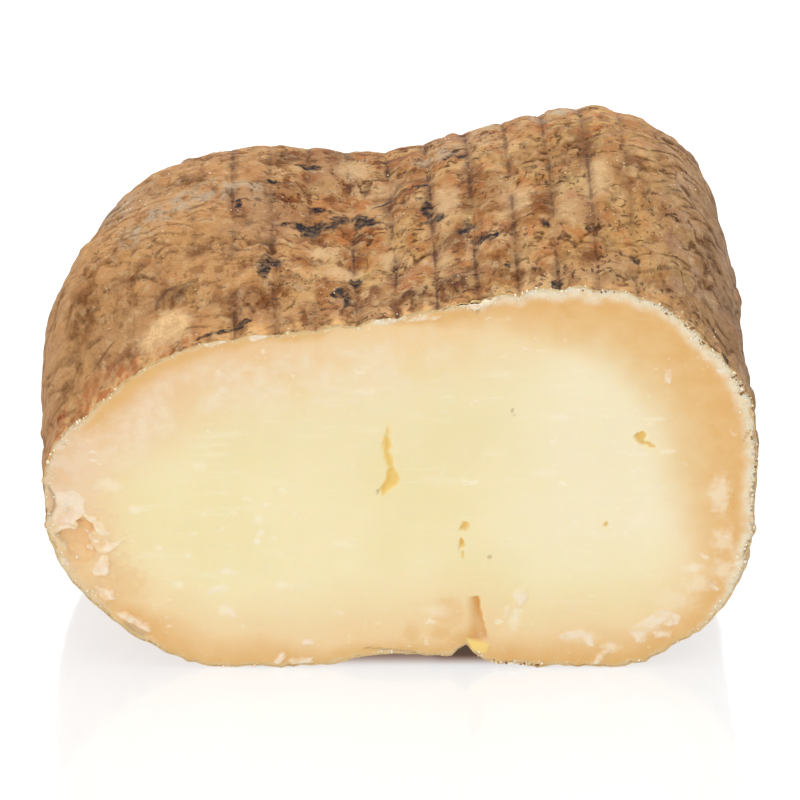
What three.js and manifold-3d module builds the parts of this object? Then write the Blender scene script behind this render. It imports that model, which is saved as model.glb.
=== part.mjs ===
// The larger half of a small farmhouse cheese wheel, cut straight down a little in front of its middle.
// Millimetres, +Z up. The flat cut face is at the front and looks along -Y. The rind runs round the left
// side, the back and the right side, over the top and under the base. The origin is on the base, under
// the middle of the piece.
//
// The rind is one surface over a grid of lines that run across and back. The grid is a square bent into
// the wheel's plan, and it lies once over the top and once under the base. Both meet at the waist, the
// wheel's widest line. The cut face closes the front.
import * as THREE from "three";
import Module from "manifold-3d";

// Plan, seen from above.
const LEFT_REACH = 74.3;
const RIGHT_REACH = 73.9;
const DEPTH = 110; // from the cut face to the back of the rind
const LEFT_PLAN_POWER = 3; // 2 is an ellipse, and a higher power is a squarer wheel
const RIGHT_PLAN_POWER = 3.4;
const LEFT_SWELL = 1.2; // how much further the left side reaches behind the cut
const RIGHT_SWELL = -2.3; // the right side draws in there instead
const SWELL_LENGTH = 80; // how far back the sides swell or draw in

// Heights above the table. The left half sank lower than the right in the press.
const LEFT_TOP = 83.5;
const RIGHT_TOP = 98.5; // the shoulder's curve takes some of this away again
const RISE_X = 24; // where the middle of the slope from the low half to the high half meets the cut
const RISE_LEAN = 0.08; // its sideways run for each millimetre towards the back
const RISE_WIDTH = 72;
const LEFT_TILT = 0.022; // rise of the top for each millimetre towards the back
const RIGHT_TILT = 0.052;
const VALLEY_DEPTH = 5.4; // a shallow trough that runs from front to back, beside the slope
const VALLEY_X = -19; // where the trough meets the cut
const VALLEY_LEAN = 0.13; // its sideways run for each millimetre towards the back
const VALLEY_WIDTH = 17;
const VALLEY_LENGTH = 75; // the trough reaches its full depth this far behind the cut
const VALLEY_AT_CUT = 0.35; // share of that depth at the cut
const DROOP_DEPTH = 8; // the left shoulder sags beside the cut
const DROOP_X = -66;
const DROOP_WIDTH = 12;
const DROOP_LENGTH = 32;
const LEFT_WAIST = 43.8;
const RIGHT_WAIST = 45;

// Roundness of the edges. 2 is an elliptic edge, and a higher power is a boxier one.
const LEFT_SHOULDER_POWER = 2.1;
const RIGHT_SHOULDER_POWER = 2.5;
const BACK_SHOULDER_POWER = 3.8;
const LEFT_HEEL_POWER = 2.3;
const RIGHT_HEEL_POWER = 3;
const BACK_HEEL_POWER = 4;
const SHOULDER_LENGTH = 45; // the edges take the back's power this far behind the cut
const BASE_PRESS = 5; // how much of the round underside the wheel's weight has pressed flat
const HOLLOW_HEIGHT = 2.7; // the base is lifted off the table in the middle of the cut
const HOLLOW_X = 3;
const HOLLOW_WIDTH = 17;
const HOLLOW_LENGTH = 26;

// Relief of the rind.
const GROOVE_PITCH = 8.25; // the reeds of the draining mat
const GROOVE_X = -0.7; // where one of the grooves meets the cut
const GROOVE_LEAN = -0.028; // sideways run of a groove for each millimetre towards the back
const GROOVE_DEPTH = 1;
const GROOVE_ROUNDNESS = 0.7; // a lower power makes broader ribs and sharper grooves
const GROOVE_LEFT = -50; // the mat pressed less on the sides, and it left no grooves beyond these places
const GROOVE_LEFT_FADE = 50;
const GROOVE_RIGHT = 62;
const GROOVE_RIGHT_FADE = 28;
const BASE_GROOVE_DEPTH = 1.2;
const BASE_RIB_FLAT = 0.4; // share of that depth at which the ribs of the base are pressed flat
// Slow waves that run over the rind: wavelength, direction across, back and up, phase and height.
const LUMPS = [
  [43, 0.9, 0.4, 0.2, 1.0, 0.3],
  [31, -0.7, 0.7, 0.3, 2.2, 0.25],
  [25, 0.5, 0.6, -0.7, 3.4, 0.2],
  [19, 0.3, -0.9, 0.4, 0.5, 0.12],
];

// Grid.
const RIB_LINES = 54; // steps across the level part of the top
const BACK_LINES = 17; // steps from the cut to the back shoulder
const RIM_LINES = 9; // steps down a shoulder, from the level part to the waist
const RIM_RISE = 0.83; // share of the height at which the rim's steps start
const RIM_POWER = 3;
const FACE_ROWS = 8;

// What has cracked, torn and crumbled in the cut face. Places are [x, z], seen from the front.
const FRONT = -DEPTH / 2;
const PROUD = 1.5; // how far a cutter starts in front of the face
const CRACK_PATH = [[-2.5, 59], [-2.9, 54], [-2.4, 50.5], [-0.9, 47.5], [-0.6, 45], [-3, 41.8]];
const CRACK_WIDTHS = [0.5, 1.1, 1.6, 2.8, 2.6, 0.6];
const CRACK_DEPTH = 4.5;
const FISSURE_PATH = [[15.2, 17.5], [15.8, 13.5], [16.2, 9.5], [16, 5]];
const FISSURE_WIDTHS = [0.8, 3, 4.8, 5.6];
const FISSURE_DEPTH = 3;
const NOTCH_X = 13.6; // a groove under the base that opens in the cut face
const NOTCH_LEFT = 6.5; // its flanks reach this far to each side at the table
const NOTCH_RIGHT = 4.5;
const NOTCH_HEIGHT = 5.6;
const NOTCH_SINK = 1; // the cutter starts this far below the table
const NOTCH_LENGTH = 38;
const NOTCH_TAPER = 0.8; // share of its size that the notch has lost where it ends
const NOTCH_STEPS = 4;
// The corner that broke away under the knife: x, lower edge, upper edge and depth, from left to right.
const BREAK = [
  [-70.8, 30, 32.4, 0.4],
  [-68.8, 26, 33.6, 1.4],
  [-66, 21.5, 33.4, 1.8],
  [-63.8, 24, 31.4, 0.9],
  [-62.2, 26.4, 28.6, 0.3],
];
const BREAK_PROUD = 0.2; // how far its cutter starts in front of the face
const BREAK_KEEL = 0.9; // how far its deepest line lies below its upper edge
// Small eyes in the paste: x, z, half width, half height and depth.
const EYES = [
  [49.3, 55.3, 1.3, 1.4, 1.8],
  [13.3, 33.8, 0.9, 1.2, 1.5],
  [13.1, 30, 1, 1.5, 1.8],
  [42.6, 34.8, 0.8, 0.8, 1],
];
// Flakes of dry rind that cling to the edge of the cut: x, z, half length, half thickness and slope.
const FLAKES = [
  [13, 85.4, 7, 1.2, 0.05],
  [-73.2, 38.5, 1.8, 1.3, 0.5],
  [-64.5, 16.8, 3.4, 1.1, -0.7],
  [-69.5, 24.5, 2.4, 1, -1.1],
];
const FLAKE_STAND = 0.8; // how far a flake stands in front of the face

// Share of the way from 0 to 1, with a soft start and a soft end.
function smooth(share) {
  const t = THREE.MathUtils.clamp(share, 0, 1);
  return t * t * (3 - 2 * t);
}

const mix = THREE.MathUtils.lerp;

// 0 on the left of the wheel, 1 on its right.
function rightShare(x) {
  return smooth(0.5 + x / (LEFT_REACH + RIGHT_REACH));
}

// Lines down a shoulder, as shares of the reach, so that they are evenly spaced in height.
function rimShares() {
  const shares = [];
  for (let i = 0; i <= RIM_LINES; i++) {
    const rise = RIM_RISE * (1 - i / RIM_LINES);
    shares.push((1 - rise ** RIM_POWER) ** (1 / RIM_POWER));
  }
  return shares;
}

// Lines from the middle or the cut out to the waist: even steps first, and the rim's lines after them.
function lineShares(evenSteps) {
  const rim = rimShares();
  const shares = [];
  for (let i = 0; i < evenSteps; i++) shares.push((rim[0] * i) / evenSteps);
  return shares.concat(rim);
}

// The square grid bent into the wheel's plan. Reach is 0 in the middle of the cut and 1 at the waist.
// The grid's inner lines lean as the grooves do, so that each groove has lines of its own.
function planPoint(across, back) {
  const left = across < 0;
  const power = left ? LEFT_PLAN_POWER : RIGHT_PLAN_POWER;
  const acrossPart = Math.abs(across) ** power;
  const backPart = back ** power;
  const reach = (1 - (1 - acrossPart) * (1 - backPart)) ** (1 / power);
  const depth = back * (1 - acrossPart / 2) ** (1 / power) * DEPTH;
  const swell = Math.sin(Math.PI * Math.min(depth / SWELL_LENGTH, 1)) ** 2;
  const side = left ? LEFT_REACH + LEFT_SWELL * swell : RIGHT_REACH + RIGHT_SWELL * swell;
  const lean = (GROOVE_X + GROOVE_LEAN * depth) * (1 - reach ** 2);
  return { x: across * (1 - backPart / 2) ** (1 / power) * side + lean, depth, reach };
}

function waistHeight(x) {
  return mix(LEFT_WAIST, RIGHT_WAIST, rightShare(x));
}

function edgePower(x, depth, left, right, back) {
  return mix(mix(left, right, rightShare(x)), back, smooth(depth / SHOULDER_LENGTH));
}

function topHeight({ x, depth, reach }) {
  const slope = smooth(0.5 + (x - RISE_X - RISE_LEAN * depth) / RISE_WIDTH);
  const trough = mix(VALLEY_AT_CUT, 1, smooth(depth / VALLEY_LENGTH));
  const offValley = (x - VALLEY_X - VALLEY_LEAN * depth) / VALLEY_WIDTH;
  const valley = VALLEY_DEPTH * trough * Math.exp(-(offValley ** 2));
  const offDroop = (x - DROOP_X) / DROOP_WIDTH;
  const droop = DROOP_DEPTH * (1 - smooth(depth / DROOP_LENGTH)) * Math.exp(-(offDroop ** 2));
  const plane = mix(LEFT_TOP, RIGHT_TOP, slope) + mix(LEFT_TILT, RIGHT_TILT, slope) * depth;
  const full = plane - valley - droop;
  const power = edgePower(x, depth, LEFT_SHOULDER_POWER, RIGHT_SHOULDER_POWER, BACK_SHOULDER_POWER);
  const waist = waistHeight(x);
  return waist + (full - waist) * (1 - reach ** power) ** (1 / power);
}

// The round underside, pressed flat where it would reach below the table.
function underHeight({ x, depth, reach }) {
  const power = edgePower(x, depth, LEFT_HEEL_POWER, RIGHT_HEEL_POWER, BACK_HEEL_POWER);
  const waist = waistHeight(x);
  const round = waist - (waist + BASE_PRESS) * (1 - reach ** power) ** (1 / power);
  const fade = 1 - smooth(depth / HOLLOW_LENGTH);
  const hollow = HOLLOW_HEIGHT * fade * Math.exp(-(((x - HOLLOW_X) / HOLLOW_WIDTH) ** 4));
  return Math.max(round, hollow);
}

// 0 on the crest of a rib and -1 in the groove beside it, fading to 0 on the wheel's sides.
function grooveRelief(x, depth) {
  const phase = (x - GROOVE_X - GROOVE_LEAN * depth) / GROOVE_PITCH;
  const rib = Math.abs(Math.sin(Math.PI * phase)) ** GROOVE_ROUNDNESS;
  const fromLeft = smooth((x - GROOVE_LEFT) / GROOVE_LEFT_FADE);
  const fromRight = smooth((GROOVE_RIGHT - x) / GROOVE_RIGHT_FADE);
  return (rib - 1) * fromLeft * fromRight;
}

function lumpRelief(x, depth, z) {
  let relief = 0;
  for (const [length, across, back, up, phase, height] of LUMPS) {
    const run = (across * x + back * depth + up * z) / length;
    relief += height * Math.sin(2 * Math.PI * run + phase);
  }
  return relief;
}

// Adds a point to a list of coordinates and returns its number.
function addPoint(points, x, y, z) {
  points.push(x, y, z);
  return points.length / 3 - 1;
}

// The two triangles of a grid cell, given anticlockwise as seen from outside.
function addCell(faces, a, b, c, d) {
  for (const face of [[a, b, c], [a, c, d]]) {
    if (new Set(face).size === 3) faces.push(...face);
  }
}

// The rind's grid points, before any relief: one sheet over the top and one under the base.
function rindGrid() {
  const half = lineShares(RIB_LINES / 2);
  const across = half.slice(1).reverse().map((share) => -share).concat(half);
  const back = lineShares(BACK_LINES);
  const points = [];
  const top = [];
  const under = [];
  for (const column of across) {
    const topColumn = [];
    const underColumn = [];
    for (const row of back) {
      const place = planPoint(column, row);
      const y = place.depth + FRONT;
      const point = addPoint(points, place.x, y, topHeight(place));
      topColumn.push(point);
      underColumn.push(place.reach < 1 ? addPoint(points, place.x, y, underHeight(place)) : point);
    }
    top.push(topColumn);
    under.push(underColumn);
  }
  return { points, top, under };
}

function rindFaces({ top, under }) {
  const faces = [];
  for (let i = 0; i + 1 < top.length; i++) {
    for (let j = 0; j + 1 < top[0].length; j++) {
      addCell(faces, top[i][j], top[i + 1][j], top[i + 1][j + 1], top[i][j + 1]);
      addCell(faces, under[i][j], under[i][j + 1], under[i + 1][j + 1], under[i + 1][j]);
    }
  }
  return faces;
}

// Moves each point of the rind along its normal. The ribs are round on top and pressed flat underneath.
// A point of the cut's edge stays in the cut's plane, and none goes below the table.
function carveRind(grid, faces) {
  const bare = new THREE.BufferGeometry();
  bare.setAttribute("position", new THREE.Float32BufferAttribute(grid.points, 3));
  bare.setIndex(faces);
  bare.computeVertexNormals();
  const normals = bare.getAttribute("normal");
  const edge = new Set([...grid.top, ...grid.under].map((column) => column[0]));
  const normal = new THREE.Vector3();
  for (let i = 0; i < normals.count; i++) {
    const [x, y, z] = grid.points.slice(3 * i, 3 * i + 3);
    const depth = y - FRONT;
    normal.fromBufferAttribute(normals, i);
    if (edge.has(i)) normal.setY(0).normalize();
    const rib = grooveRelief(x, depth);
    const pressed = BASE_GROOVE_DEPTH * Math.min(rib + BASE_RIB_FLAT, 0);
    const groove = smooth(Math.abs(normal.z)) * (normal.z > 0 ? GROOVE_DEPTH * rib : pressed);
    const relief = groove + lumpRelief(x, depth, z) * smooth(z / LEFT_WAIST);
    grid.points[3 * i] += relief * normal.x;
    grid.points[3 * i + 1] += relief * normal.y;
    grid.points[3 * i + 2] = Math.max(z + relief * normal.z, 0);
  }
}

// The cut face: a column of points under each point of the cut's upper edge.
function closeFront({ points, top, under }, faces) {
  const columns = top.map((column, i) => {
    const high = column[0];
    const low = under[i][0];
    const rows = [low];
    for (let row = 1; row < FACE_ROWS; row++) {
      const share = row / FACE_ROWS;
      const x = mix(points[3 * low], points[3 * high], share);
      const z = mix(points[3 * low + 2], points[3 * high + 2], share);
      rows.push(low === high ? low : addPoint(points, x, FRONT, z));
    }
    rows.push(high);
    return rows;
  });
  for (let i = 0; i + 1 < columns.length; i++) {
    for (let row = 0; row < FACE_ROWS; row++) {
      addCell(faces, columns[i][row], columns[i + 1][row], columns[i + 1][row + 1], columns[i][row + 1]);
    }
  }
}

const wasm = await Module();
wasm.setup();

function solidOf(points, faces) {
  const mesh = { numProp: 3, vertProperties: new Float32Array(points), triVerts: new Uint32Array(faces) };
  return new wasm.Manifold(new wasm.Mesh(mesh));
}

// A solid through a row of three-cornered sections, with each section's corners in the same order.
function wedge(sections) {
  const points = sections.flat(2);
  const faces = [0, 2, 1];
  for (let i = 0; i + 1 < sections.length; i++) {
    for (let corner = 0; corner < 3; corner++) {
      const here = 3 * i + corner;
      const beside = 3 * i + ((corner + 1) % 3);
      addCell(faces, here, beside, beside + 3, here + 3);
    }
  }
  const last = 3 * (sections.length - 1);
  faces.push(last, last + 1, last + 2);
  return solidOf(points, faces);
}

// A crack in the face: a wedge whose keel lies deepest where the crack is widest.
function crack(path, widths, depth) {
  const widest = Math.max(...widths);
  return wedge(path.map(([x, z], i) => {
    const half = widths[i] / 2;
    const keel = FRONT + (depth * widths[i]) / widest;
    return [[x - half, FRONT - PROUD, z], [x, keel, z], [x + half, FRONT - PROUD, z]];
  }));
}

// The groove under the base, from the cut back to where it runs out.
function notch() {
  const sections = [];
  for (let i = 0; i <= NOTCH_STEPS; i++) {
    const run = i / NOTCH_STEPS;
    const size = 1 - NOTCH_TAPER * run;
    const y = FRONT - PROUD + run * NOTCH_LENGTH;
    const left = NOTCH_X - NOTCH_LEFT * size;
    const right = NOTCH_X + NOTCH_RIGHT * size;
    sections.push([[left, y, -NOTCH_SINK], [NOTCH_X, y, NOTCH_HEIGHT * size], [right, y, -NOTCH_SINK]]);
  }
  return wedge(sections);
}

// The hollow of the broken corner: steep under its upper edge, and running out below.
function brokenCorner() {
  const front = FRONT - BREAK_PROUD;
  return wedge(BREAK.map(([x, low, high, depth]) => {
    return [[x, front, low], [x, FRONT + depth, high - BREAK_KEEL], [x, front, high]];
  }));
}

// A ball of 20 or 80 triangles, stretched, sloped and put in place.
function blob(detail, stretch, slope, place) {
  const ball = new THREE.IcosahedronGeometry(1, detail);
  ball.scale(...stretch).rotateY(-slope).translate(...place);
  const corners = ball.getAttribute("position");
  const numbers = new Map();
  const points = [];
  const faces = [];
  for (let i = 0; i < corners.count; i++) {
    const corner = [corners.getX(i), corners.getY(i), corners.getZ(i)];
    const key = corner.map((value) => value.toFixed(3)).join(" ");
    if (!numbers.has(key)) numbers.set(key, addPoint(points, ...corner));
    faces.push(numbers.get(key));
  }
  return solidOf(points, faces);
}

function cheeseSolid() {
  const grid = rindGrid();
  const faces = rindFaces(grid);
  carveRind(grid, faces);
  closeFront(grid, faces);
  let solid = solidOf(grid.points, faces);
  for (const [x, z, halfLength, halfThickness, slope] of FLAKES) {
    const stretch = [halfLength, FLAKE_STAND, halfThickness];
    solid = solid.add(blob(0, stretch, slope, [x, FRONT, z]));
  }
  solid = solid.subtract(crack(CRACK_PATH, CRACK_WIDTHS, CRACK_DEPTH));
  solid = solid.subtract(crack(FISSURE_PATH, FISSURE_WIDTHS, FISSURE_DEPTH));
  solid = solid.subtract(notch());
  solid = solid.subtract(brokenCorner());
  for (const [x, z, halfWidth, halfHeight, depth] of EYES) {
    solid = solid.subtract(blob(1, [halfWidth, depth, halfHeight], 0, [x, FRONT, z]));
  }
  return solid;
}

function meshOf(name, solid, material) {
  const made = solid.getMesh();
  const geometry = new THREE.BufferGeometry();
  geometry.setAttribute("position", new THREE.BufferAttribute(made.vertProperties, 3));
  geometry.setIndex(new THREE.BufferAttribute(made.triVerts, 1));
  geometry.computeVertexNormals();
  const mesh = new THREE.Mesh(geometry, material);
  mesh.name = name;
  return mesh;
}

const rindTan = new THREE.MeshStandardMaterial({ color: 0xc29a6b, roughness: 0.75, metalness: 0 });

const cheese = new THREE.Group();
cheese.add(meshOf("cheese", cheeseSolid(), rindTan));
export default cheese;
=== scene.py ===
import bmesh
import bpy
import numpy as np
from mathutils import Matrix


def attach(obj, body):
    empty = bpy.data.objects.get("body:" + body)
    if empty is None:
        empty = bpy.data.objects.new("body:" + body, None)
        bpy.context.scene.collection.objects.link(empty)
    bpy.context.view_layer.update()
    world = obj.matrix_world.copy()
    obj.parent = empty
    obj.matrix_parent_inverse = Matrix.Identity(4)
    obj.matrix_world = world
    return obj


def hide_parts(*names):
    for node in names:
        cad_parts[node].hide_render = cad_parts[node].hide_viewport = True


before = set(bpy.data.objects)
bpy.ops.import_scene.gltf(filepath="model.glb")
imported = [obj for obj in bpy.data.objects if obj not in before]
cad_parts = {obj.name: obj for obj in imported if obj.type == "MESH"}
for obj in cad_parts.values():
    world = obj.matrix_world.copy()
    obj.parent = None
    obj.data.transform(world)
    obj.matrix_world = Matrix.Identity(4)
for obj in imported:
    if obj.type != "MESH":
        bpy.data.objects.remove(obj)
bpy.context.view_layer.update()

# ------------------------------------------------------------------------------------------------ the rind
# The dried skin of the wheel, which grew while the cheese aged on its shelf and was brushed and turned. It
# carries the marks of the draining mat's reeds, scales and blisters of dry paste and spots of blue mould. The
# knife left its pale, crumbly edge bare all round the cut. Sizes are in millimetres.
MM = 0.001
LEFT_REACH = 74.3
RIGHT_REACH = 73.9
DEPTH = 110.0
FRONT = -DEPTH / 2
LEFT_PLAN_POWER = 3.0
RIGHT_PLAN_POWER = 3.4
LEFT_SWELL = 1.2
RIGHT_SWELL = -2.3
SWELL_LENGTH = 80.0
LEFT_TOP = 83.5
RIGHT_TOP = 98.5
RISE_X = 24.0
RISE_LEAN = 0.08
RISE_WIDTH = 72.0
LEFT_TILT = 0.022
RIGHT_TILT = 0.052
VALLEY_DEPTH = 5.4
VALLEY_X = -19.0
VALLEY_LEAN = 0.13
VALLEY_WIDTH = 17.0
VALLEY_LENGTH = 75.0
VALLEY_AT_CUT = 0.35
DROOP_DEPTH = 8.0
DROOP_X = -66.0
DROOP_WIDTH = 12.0
DROOP_LENGTH = 32.0
LEFT_WAIST = 43.8
RIGHT_WAIST = 45.0
LEFT_SHOULDER_POWER = 2.1
RIGHT_SHOULDER_POWER = 2.5
BACK_SHOULDER_POWER = 3.8
LEFT_HEEL_POWER = 2.3
RIGHT_HEEL_POWER = 3.0
BACK_HEEL_POWER = 4.0
SHOULDER_LENGTH = 45.0
BASE_PRESS = 5.0
HOLLOW_HEIGHT = 2.7
HOLLOW_X = 3.0
HOLLOW_WIDTH = 17.0
HOLLOW_LENGTH = 26.0
NOTCH_X = 13.6
NOTCH_LEFT = 6.5
NOTCH_RIGHT = 4.5
NOTCH_HEIGHT = 5.6
NOTCH_SINK = 1.0
NOTCH_LENGTH = 38.0
NOTCH_TAPER = 0.8
GROOVE_PITCH = 8.25
GROOVE_X = -0.7
GROOVE_LEAN = -0.028
GROOVE_DEPTH = 1.0
GROOVE_ROUNDNESS = 0.7
GROOVE_LEFT = -50.0
GROOVE_LEFT_FADE = 50.0
GROOVE_RIGHT = 62.0
GROOVE_RIGHT_FADE = 28.0
BASE_GROOVE_DEPTH = 1.2
BASE_RIB_FLAT = 0.4
# Slow waves over the rind: wavelength, direction across, back and up, phase and height.
LUMPS = [
    (43, 0.9, 0.4, 0.2, 1.0, 0.3),
    (31, -0.7, 0.7, 0.3, 2.2, 0.25),
    (25, 0.5, 0.6, -0.7, 3.4, 0.2),
    (19, 0.3, -0.9, 0.4, 0.5, 0.12),
]


def smooth(share):
    """0 below 0, 1 above 1, and three t squared less two t cubed between them."""
    t = np.clip(share, 0, 1)
    return t * t * (3 - 2 * t)


def mix(low, high, share):
    """The low value at share 0 and the high one at share 1, in a straight line."""
    return low + (high - low) * share


def right_share(x):
    """0 on the left of the wheel and 1 on its right."""
    return smooth(0.5 + x / (LEFT_REACH + RIGHT_REACH))


def plan(across, back):
    """The square grid bent into the wheel's plan: the sides are superellipses, and the inner lines lean as
    the grooves do. Gives x, the depth behind the cut, and the reach, which is 0 in the middle of the cut
    and 1 at the waist."""
    power = np.where(across < 0, LEFT_PLAN_POWER, RIGHT_PLAN_POWER)
    across_part = np.abs(across) ** power
    back_part = back ** power
    reach = (1 - (1 - across_part) * (1 - back_part)) ** (1 / power)
    depth = back * (1 - across_part / 2) ** (1 / power) * DEPTH
    swell = np.sin(np.pi * np.minimum(depth / SWELL_LENGTH, 1)) ** 2
    left_side = LEFT_REACH + LEFT_SWELL * swell
    right_side = RIGHT_REACH + RIGHT_SWELL * swell
    lean = (GROOVE_X + GROOVE_LEAN * depth) * (1 - reach ** 2)
    wide = across * (1 - back_part / 2) ** (1 / power)
    return wide * np.where(across < 0, left_side, right_side) + lean, depth, reach


def edge_power(x, depth, left, right, back):
    """Roundness of an edge: its left or right value at the cut, turning into the back's value behind it."""
    return mix(mix(left, right, right_share(x)), back, smooth(depth / SHOULDER_LENGTH))


def waist_height(x):
    """Height of the wheel's widest line."""
    return mix(LEFT_WAIST, RIGHT_WAIST, right_share(x))


def top_height(x, depth, reach):
    """Two tilted planes blended across the wheel, less a trough and the sagging left shoulder, brought down
    to the waist by a superellipse."""
    slope = smooth(0.5 + (x - RISE_X - RISE_LEAN * depth) / RISE_WIDTH)
    trough = mix(VALLEY_AT_CUT, 1, smooth(depth / VALLEY_LENGTH))
    valley = VALLEY_DEPTH * trough * np.exp(-((x - VALLEY_X - VALLEY_LEAN * depth) / VALLEY_WIDTH) ** 2)
    droop = DROOP_DEPTH * (1 - smooth(depth / DROOP_LENGTH)) * np.exp(-((x - DROOP_X) / DROOP_WIDTH) ** 2)
    full = mix(LEFT_TOP, RIGHT_TOP, slope) + mix(LEFT_TILT, RIGHT_TILT, slope) * depth - valley - droop
    power = edge_power(x, depth, LEFT_SHOULDER_POWER, RIGHT_SHOULDER_POWER, BACK_SHOULDER_POWER)
    waist = waist_height(x)
    return waist + (full - waist) * np.clip(1 - reach ** power, 0, 1) ** (1 / power)


def under_height(x, depth, reach):
    """A round underside pressed flat on the table, with the hollow in the middle of the cut and the notch,
    a V that shrinks until it runs out."""
    power = edge_power(x, depth, LEFT_HEEL_POWER, RIGHT_HEEL_POWER, BACK_HEEL_POWER)
    waist = waist_height(x)
    curve = waist - (waist + BASE_PRESS) * np.clip(1 - reach ** power, 0, 1) ** (1 / power)
    fade = 1 - smooth(depth / HOLLOW_LENGTH)
    hollow = HOLLOW_HEIGHT * fade * np.exp(-((x - HOLLOW_X) / HOLLOW_WIDTH) ** 4)
    size = 1 - NOTCH_TAPER * np.minimum(depth / NOTCH_LENGTH, 1)
    flank = np.abs(x - NOTCH_X) / (np.where(x < NOTCH_X, NOTCH_LEFT, NOTCH_RIGHT) * size)
    notch = (NOTCH_HEIGHT * size + NOTCH_SINK) * (1 - flank) - NOTCH_SINK
    return np.maximum(np.maximum(curve, hollow), np.where(depth < NOTCH_LENGTH, notch, 0))


def groove_phase(x, depth):
    """Ribs of the mat counted from the left: a whole number in each groove."""
    return (x - GROOVE_X - GROOVE_LEAN * depth) / GROOVE_PITCH


def groove_share(x):
    """1 where the mat pressed its full depth, fading to 0 on the wheel's sides."""
    return smooth((x - GROOVE_LEFT) / GROOVE_LEFT_FADE) * smooth((GROOVE_RIGHT - x) / GROOVE_RIGHT_FADE)


def lump_relief(x, depth, z):
    """The sum of a few plane sine waves."""
    total = 0
    for length, across, back, up, phase, height in LUMPS:
        total = total + height * np.sin(2 * np.pi * (across * x + back * depth + up * z) / length + phase)
    return total


SLOPES = 512  # random directions that the noise draws on


def lattice_numbers(corner, seed):
    """A number from 0 to SLOPES - 1 for each corner of the lattice: its three whole numbers, shuffled in
    turn."""
    shuffle = np.random.default_rng(seed).permutation(SLOPES)
    x, y, z = corner.astype(int).T
    return shuffle[(shuffle[(shuffle[x % SLOPES] + y) % SLOPES] + z) % SLOPES]


def grain(points, size, seed):
    """Smooth noise, about -1 to 1: each corner of a lattice of this size has a random slope, and a point
    takes the eight slopes round it, faded into each other."""
    slopes = np.random.default_rng(seed).normal(size=(SLOPES, 3))
    slopes /= np.linalg.norm(slopes, axis=1, keepdims=True)
    cell = points / size
    low = np.floor(cell)
    inside = cell - low
    fade = inside ** 3 * (inside * (inside * 6 - 15) + 10)
    total = 0
    for corner in np.ndindex(2, 2, 2):
        step = np.array(corner)
        slope = slopes[lattice_numbers(low + step, seed)]
        weight = np.prod(np.where(step, fade, 1 - fade), axis=1)
        total = total + weight * ((inside - step) * slope).sum(axis=1)
    return total * 1.6


def rough(points, size, seed, layers=3):
    """Noise of several sizes: each layer is half the size and half the height of the one before."""
    return sum(grain(points, size / 2 ** i, seed + i) / 2 ** i for i in range(layers))


def spots(points, size, seed):
    """One random spot in each cube of a lattice. Gives the way from the nearest spot, its length, and the
    spot's own number from 0 to 1."""
    rng = np.random.default_rng(seed)
    places = rng.random((SLOPES, 3))
    marks = rng.random(SLOPES)
    cell = points / size
    low = np.floor(cell)
    nearest = np.full(len(points), 9.0)
    away = np.zeros(points.shape)
    mark = np.zeros(len(points))
    for corner in np.ndindex(3, 3, 3):
        home = low + np.array(corner) - 1
        number = lattice_numbers(home, seed)
        off = cell - home - places[number]
        gap = np.linalg.norm(off, axis=1)
        closer = gap < nearest
        nearest = np.where(closer, gap, nearest)
        away = np.where(closer[:, None], off, away)
        mark = np.where(closer, marks[number], mark)
    return away * size, nearest * size, mark


def cells_of(numbers, turned=False):
    """Two triangles for each cell of a grid of point numbers, anticlockwise from outside, or the other way
    round if turned."""
    a = numbers[:-1, :-1]
    b = numbers[1:, :-1]
    c = numbers[1:, 1:]
    d = numbers[:-1, 1:]
    faces = np.stack([a, b, c, a, c, d], axis=-1).reshape(-1, 3)
    return faces[:, ::-1] if turned else faces


def joined_ends(single, double):
    """The last strip between a row of points and a row with twice as many cells: three triangles for each
    cell of the first row."""
    a = single[:-1]
    e = single[1:]
    b = double[:-1:2]
    c = double[1::2]
    d = double[2::2]
    return np.stack([a, b, c, a, c, e, e, c, d], axis=-1).reshape(-1, 3)


def normals_of(points, faces):
    """At each point, the mean direction of the faces round it, by their areas."""
    corner = points[faces]
    lean = np.cross(corner[:, 1] - corner[:, 0], corner[:, 2] - corner[:, 0])
    at = faces.ravel()
    total = [np.bincount(at, np.repeat(lean[:, i], 3), len(points)) for i in range(3)]
    total = np.stack(total, axis=1)
    return total / np.maximum(np.linalg.norm(total, axis=1, keepdims=True), 1e-9)


def even_lines(count, line, low):
    """Grid lines at equal steps along a curve over the wheel's top. The curve's points are given by line,
    a function of the share from low to 1."""
    turn = np.linspace(-np.pi / 2 if low < 0 else 0, np.pi / 2, 4001)
    share = np.sin(turn)
    run = np.linalg.norm(np.diff(np.stack(line(share), axis=1), axis=0), axis=1)
    arc = np.concatenate([[0], np.cumsum(run)])
    return np.interp(np.linspace(0, arc[-1], count + 1), arc, share)


def over_top(share):
    """The arch from the left waist to the right one, a third of the way back."""
    x, depth, reach = plan(share, np.full_like(share, 0.33))
    return x, top_height(x, depth, reach)


def over_back(share):
    """The line from the cut over the middle of the top and down to the back's waist."""
    x, depth, reach = plan(np.full_like(share, 0.1), share)
    return depth, top_height(x, depth, reach)


ACROSS = 300  # cells over the top, and twice as many as under the base
BACK = 190
RIND_THICKNESS = 4.0

across_lines = even_lines(ACROSS, over_top, -1)
back_lines = even_lines(BACK, over_back, 0)


def wheel_points(across, back, height):
    """Points of the top or the underside over a grid of lines, as x, y and z."""
    columns, rows = np.meshgrid(across, back, indexing="ij")
    x, depth, reach = plan(columns, rows)
    return np.stack([x, depth + FRONT, height(x, depth, reach)], axis=-1)


def numbered(points, first):
    """A number for each point of a grid, counted from first."""
    return np.arange(points[..., 0].size).reshape(points.shape[:2]) + first


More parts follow.
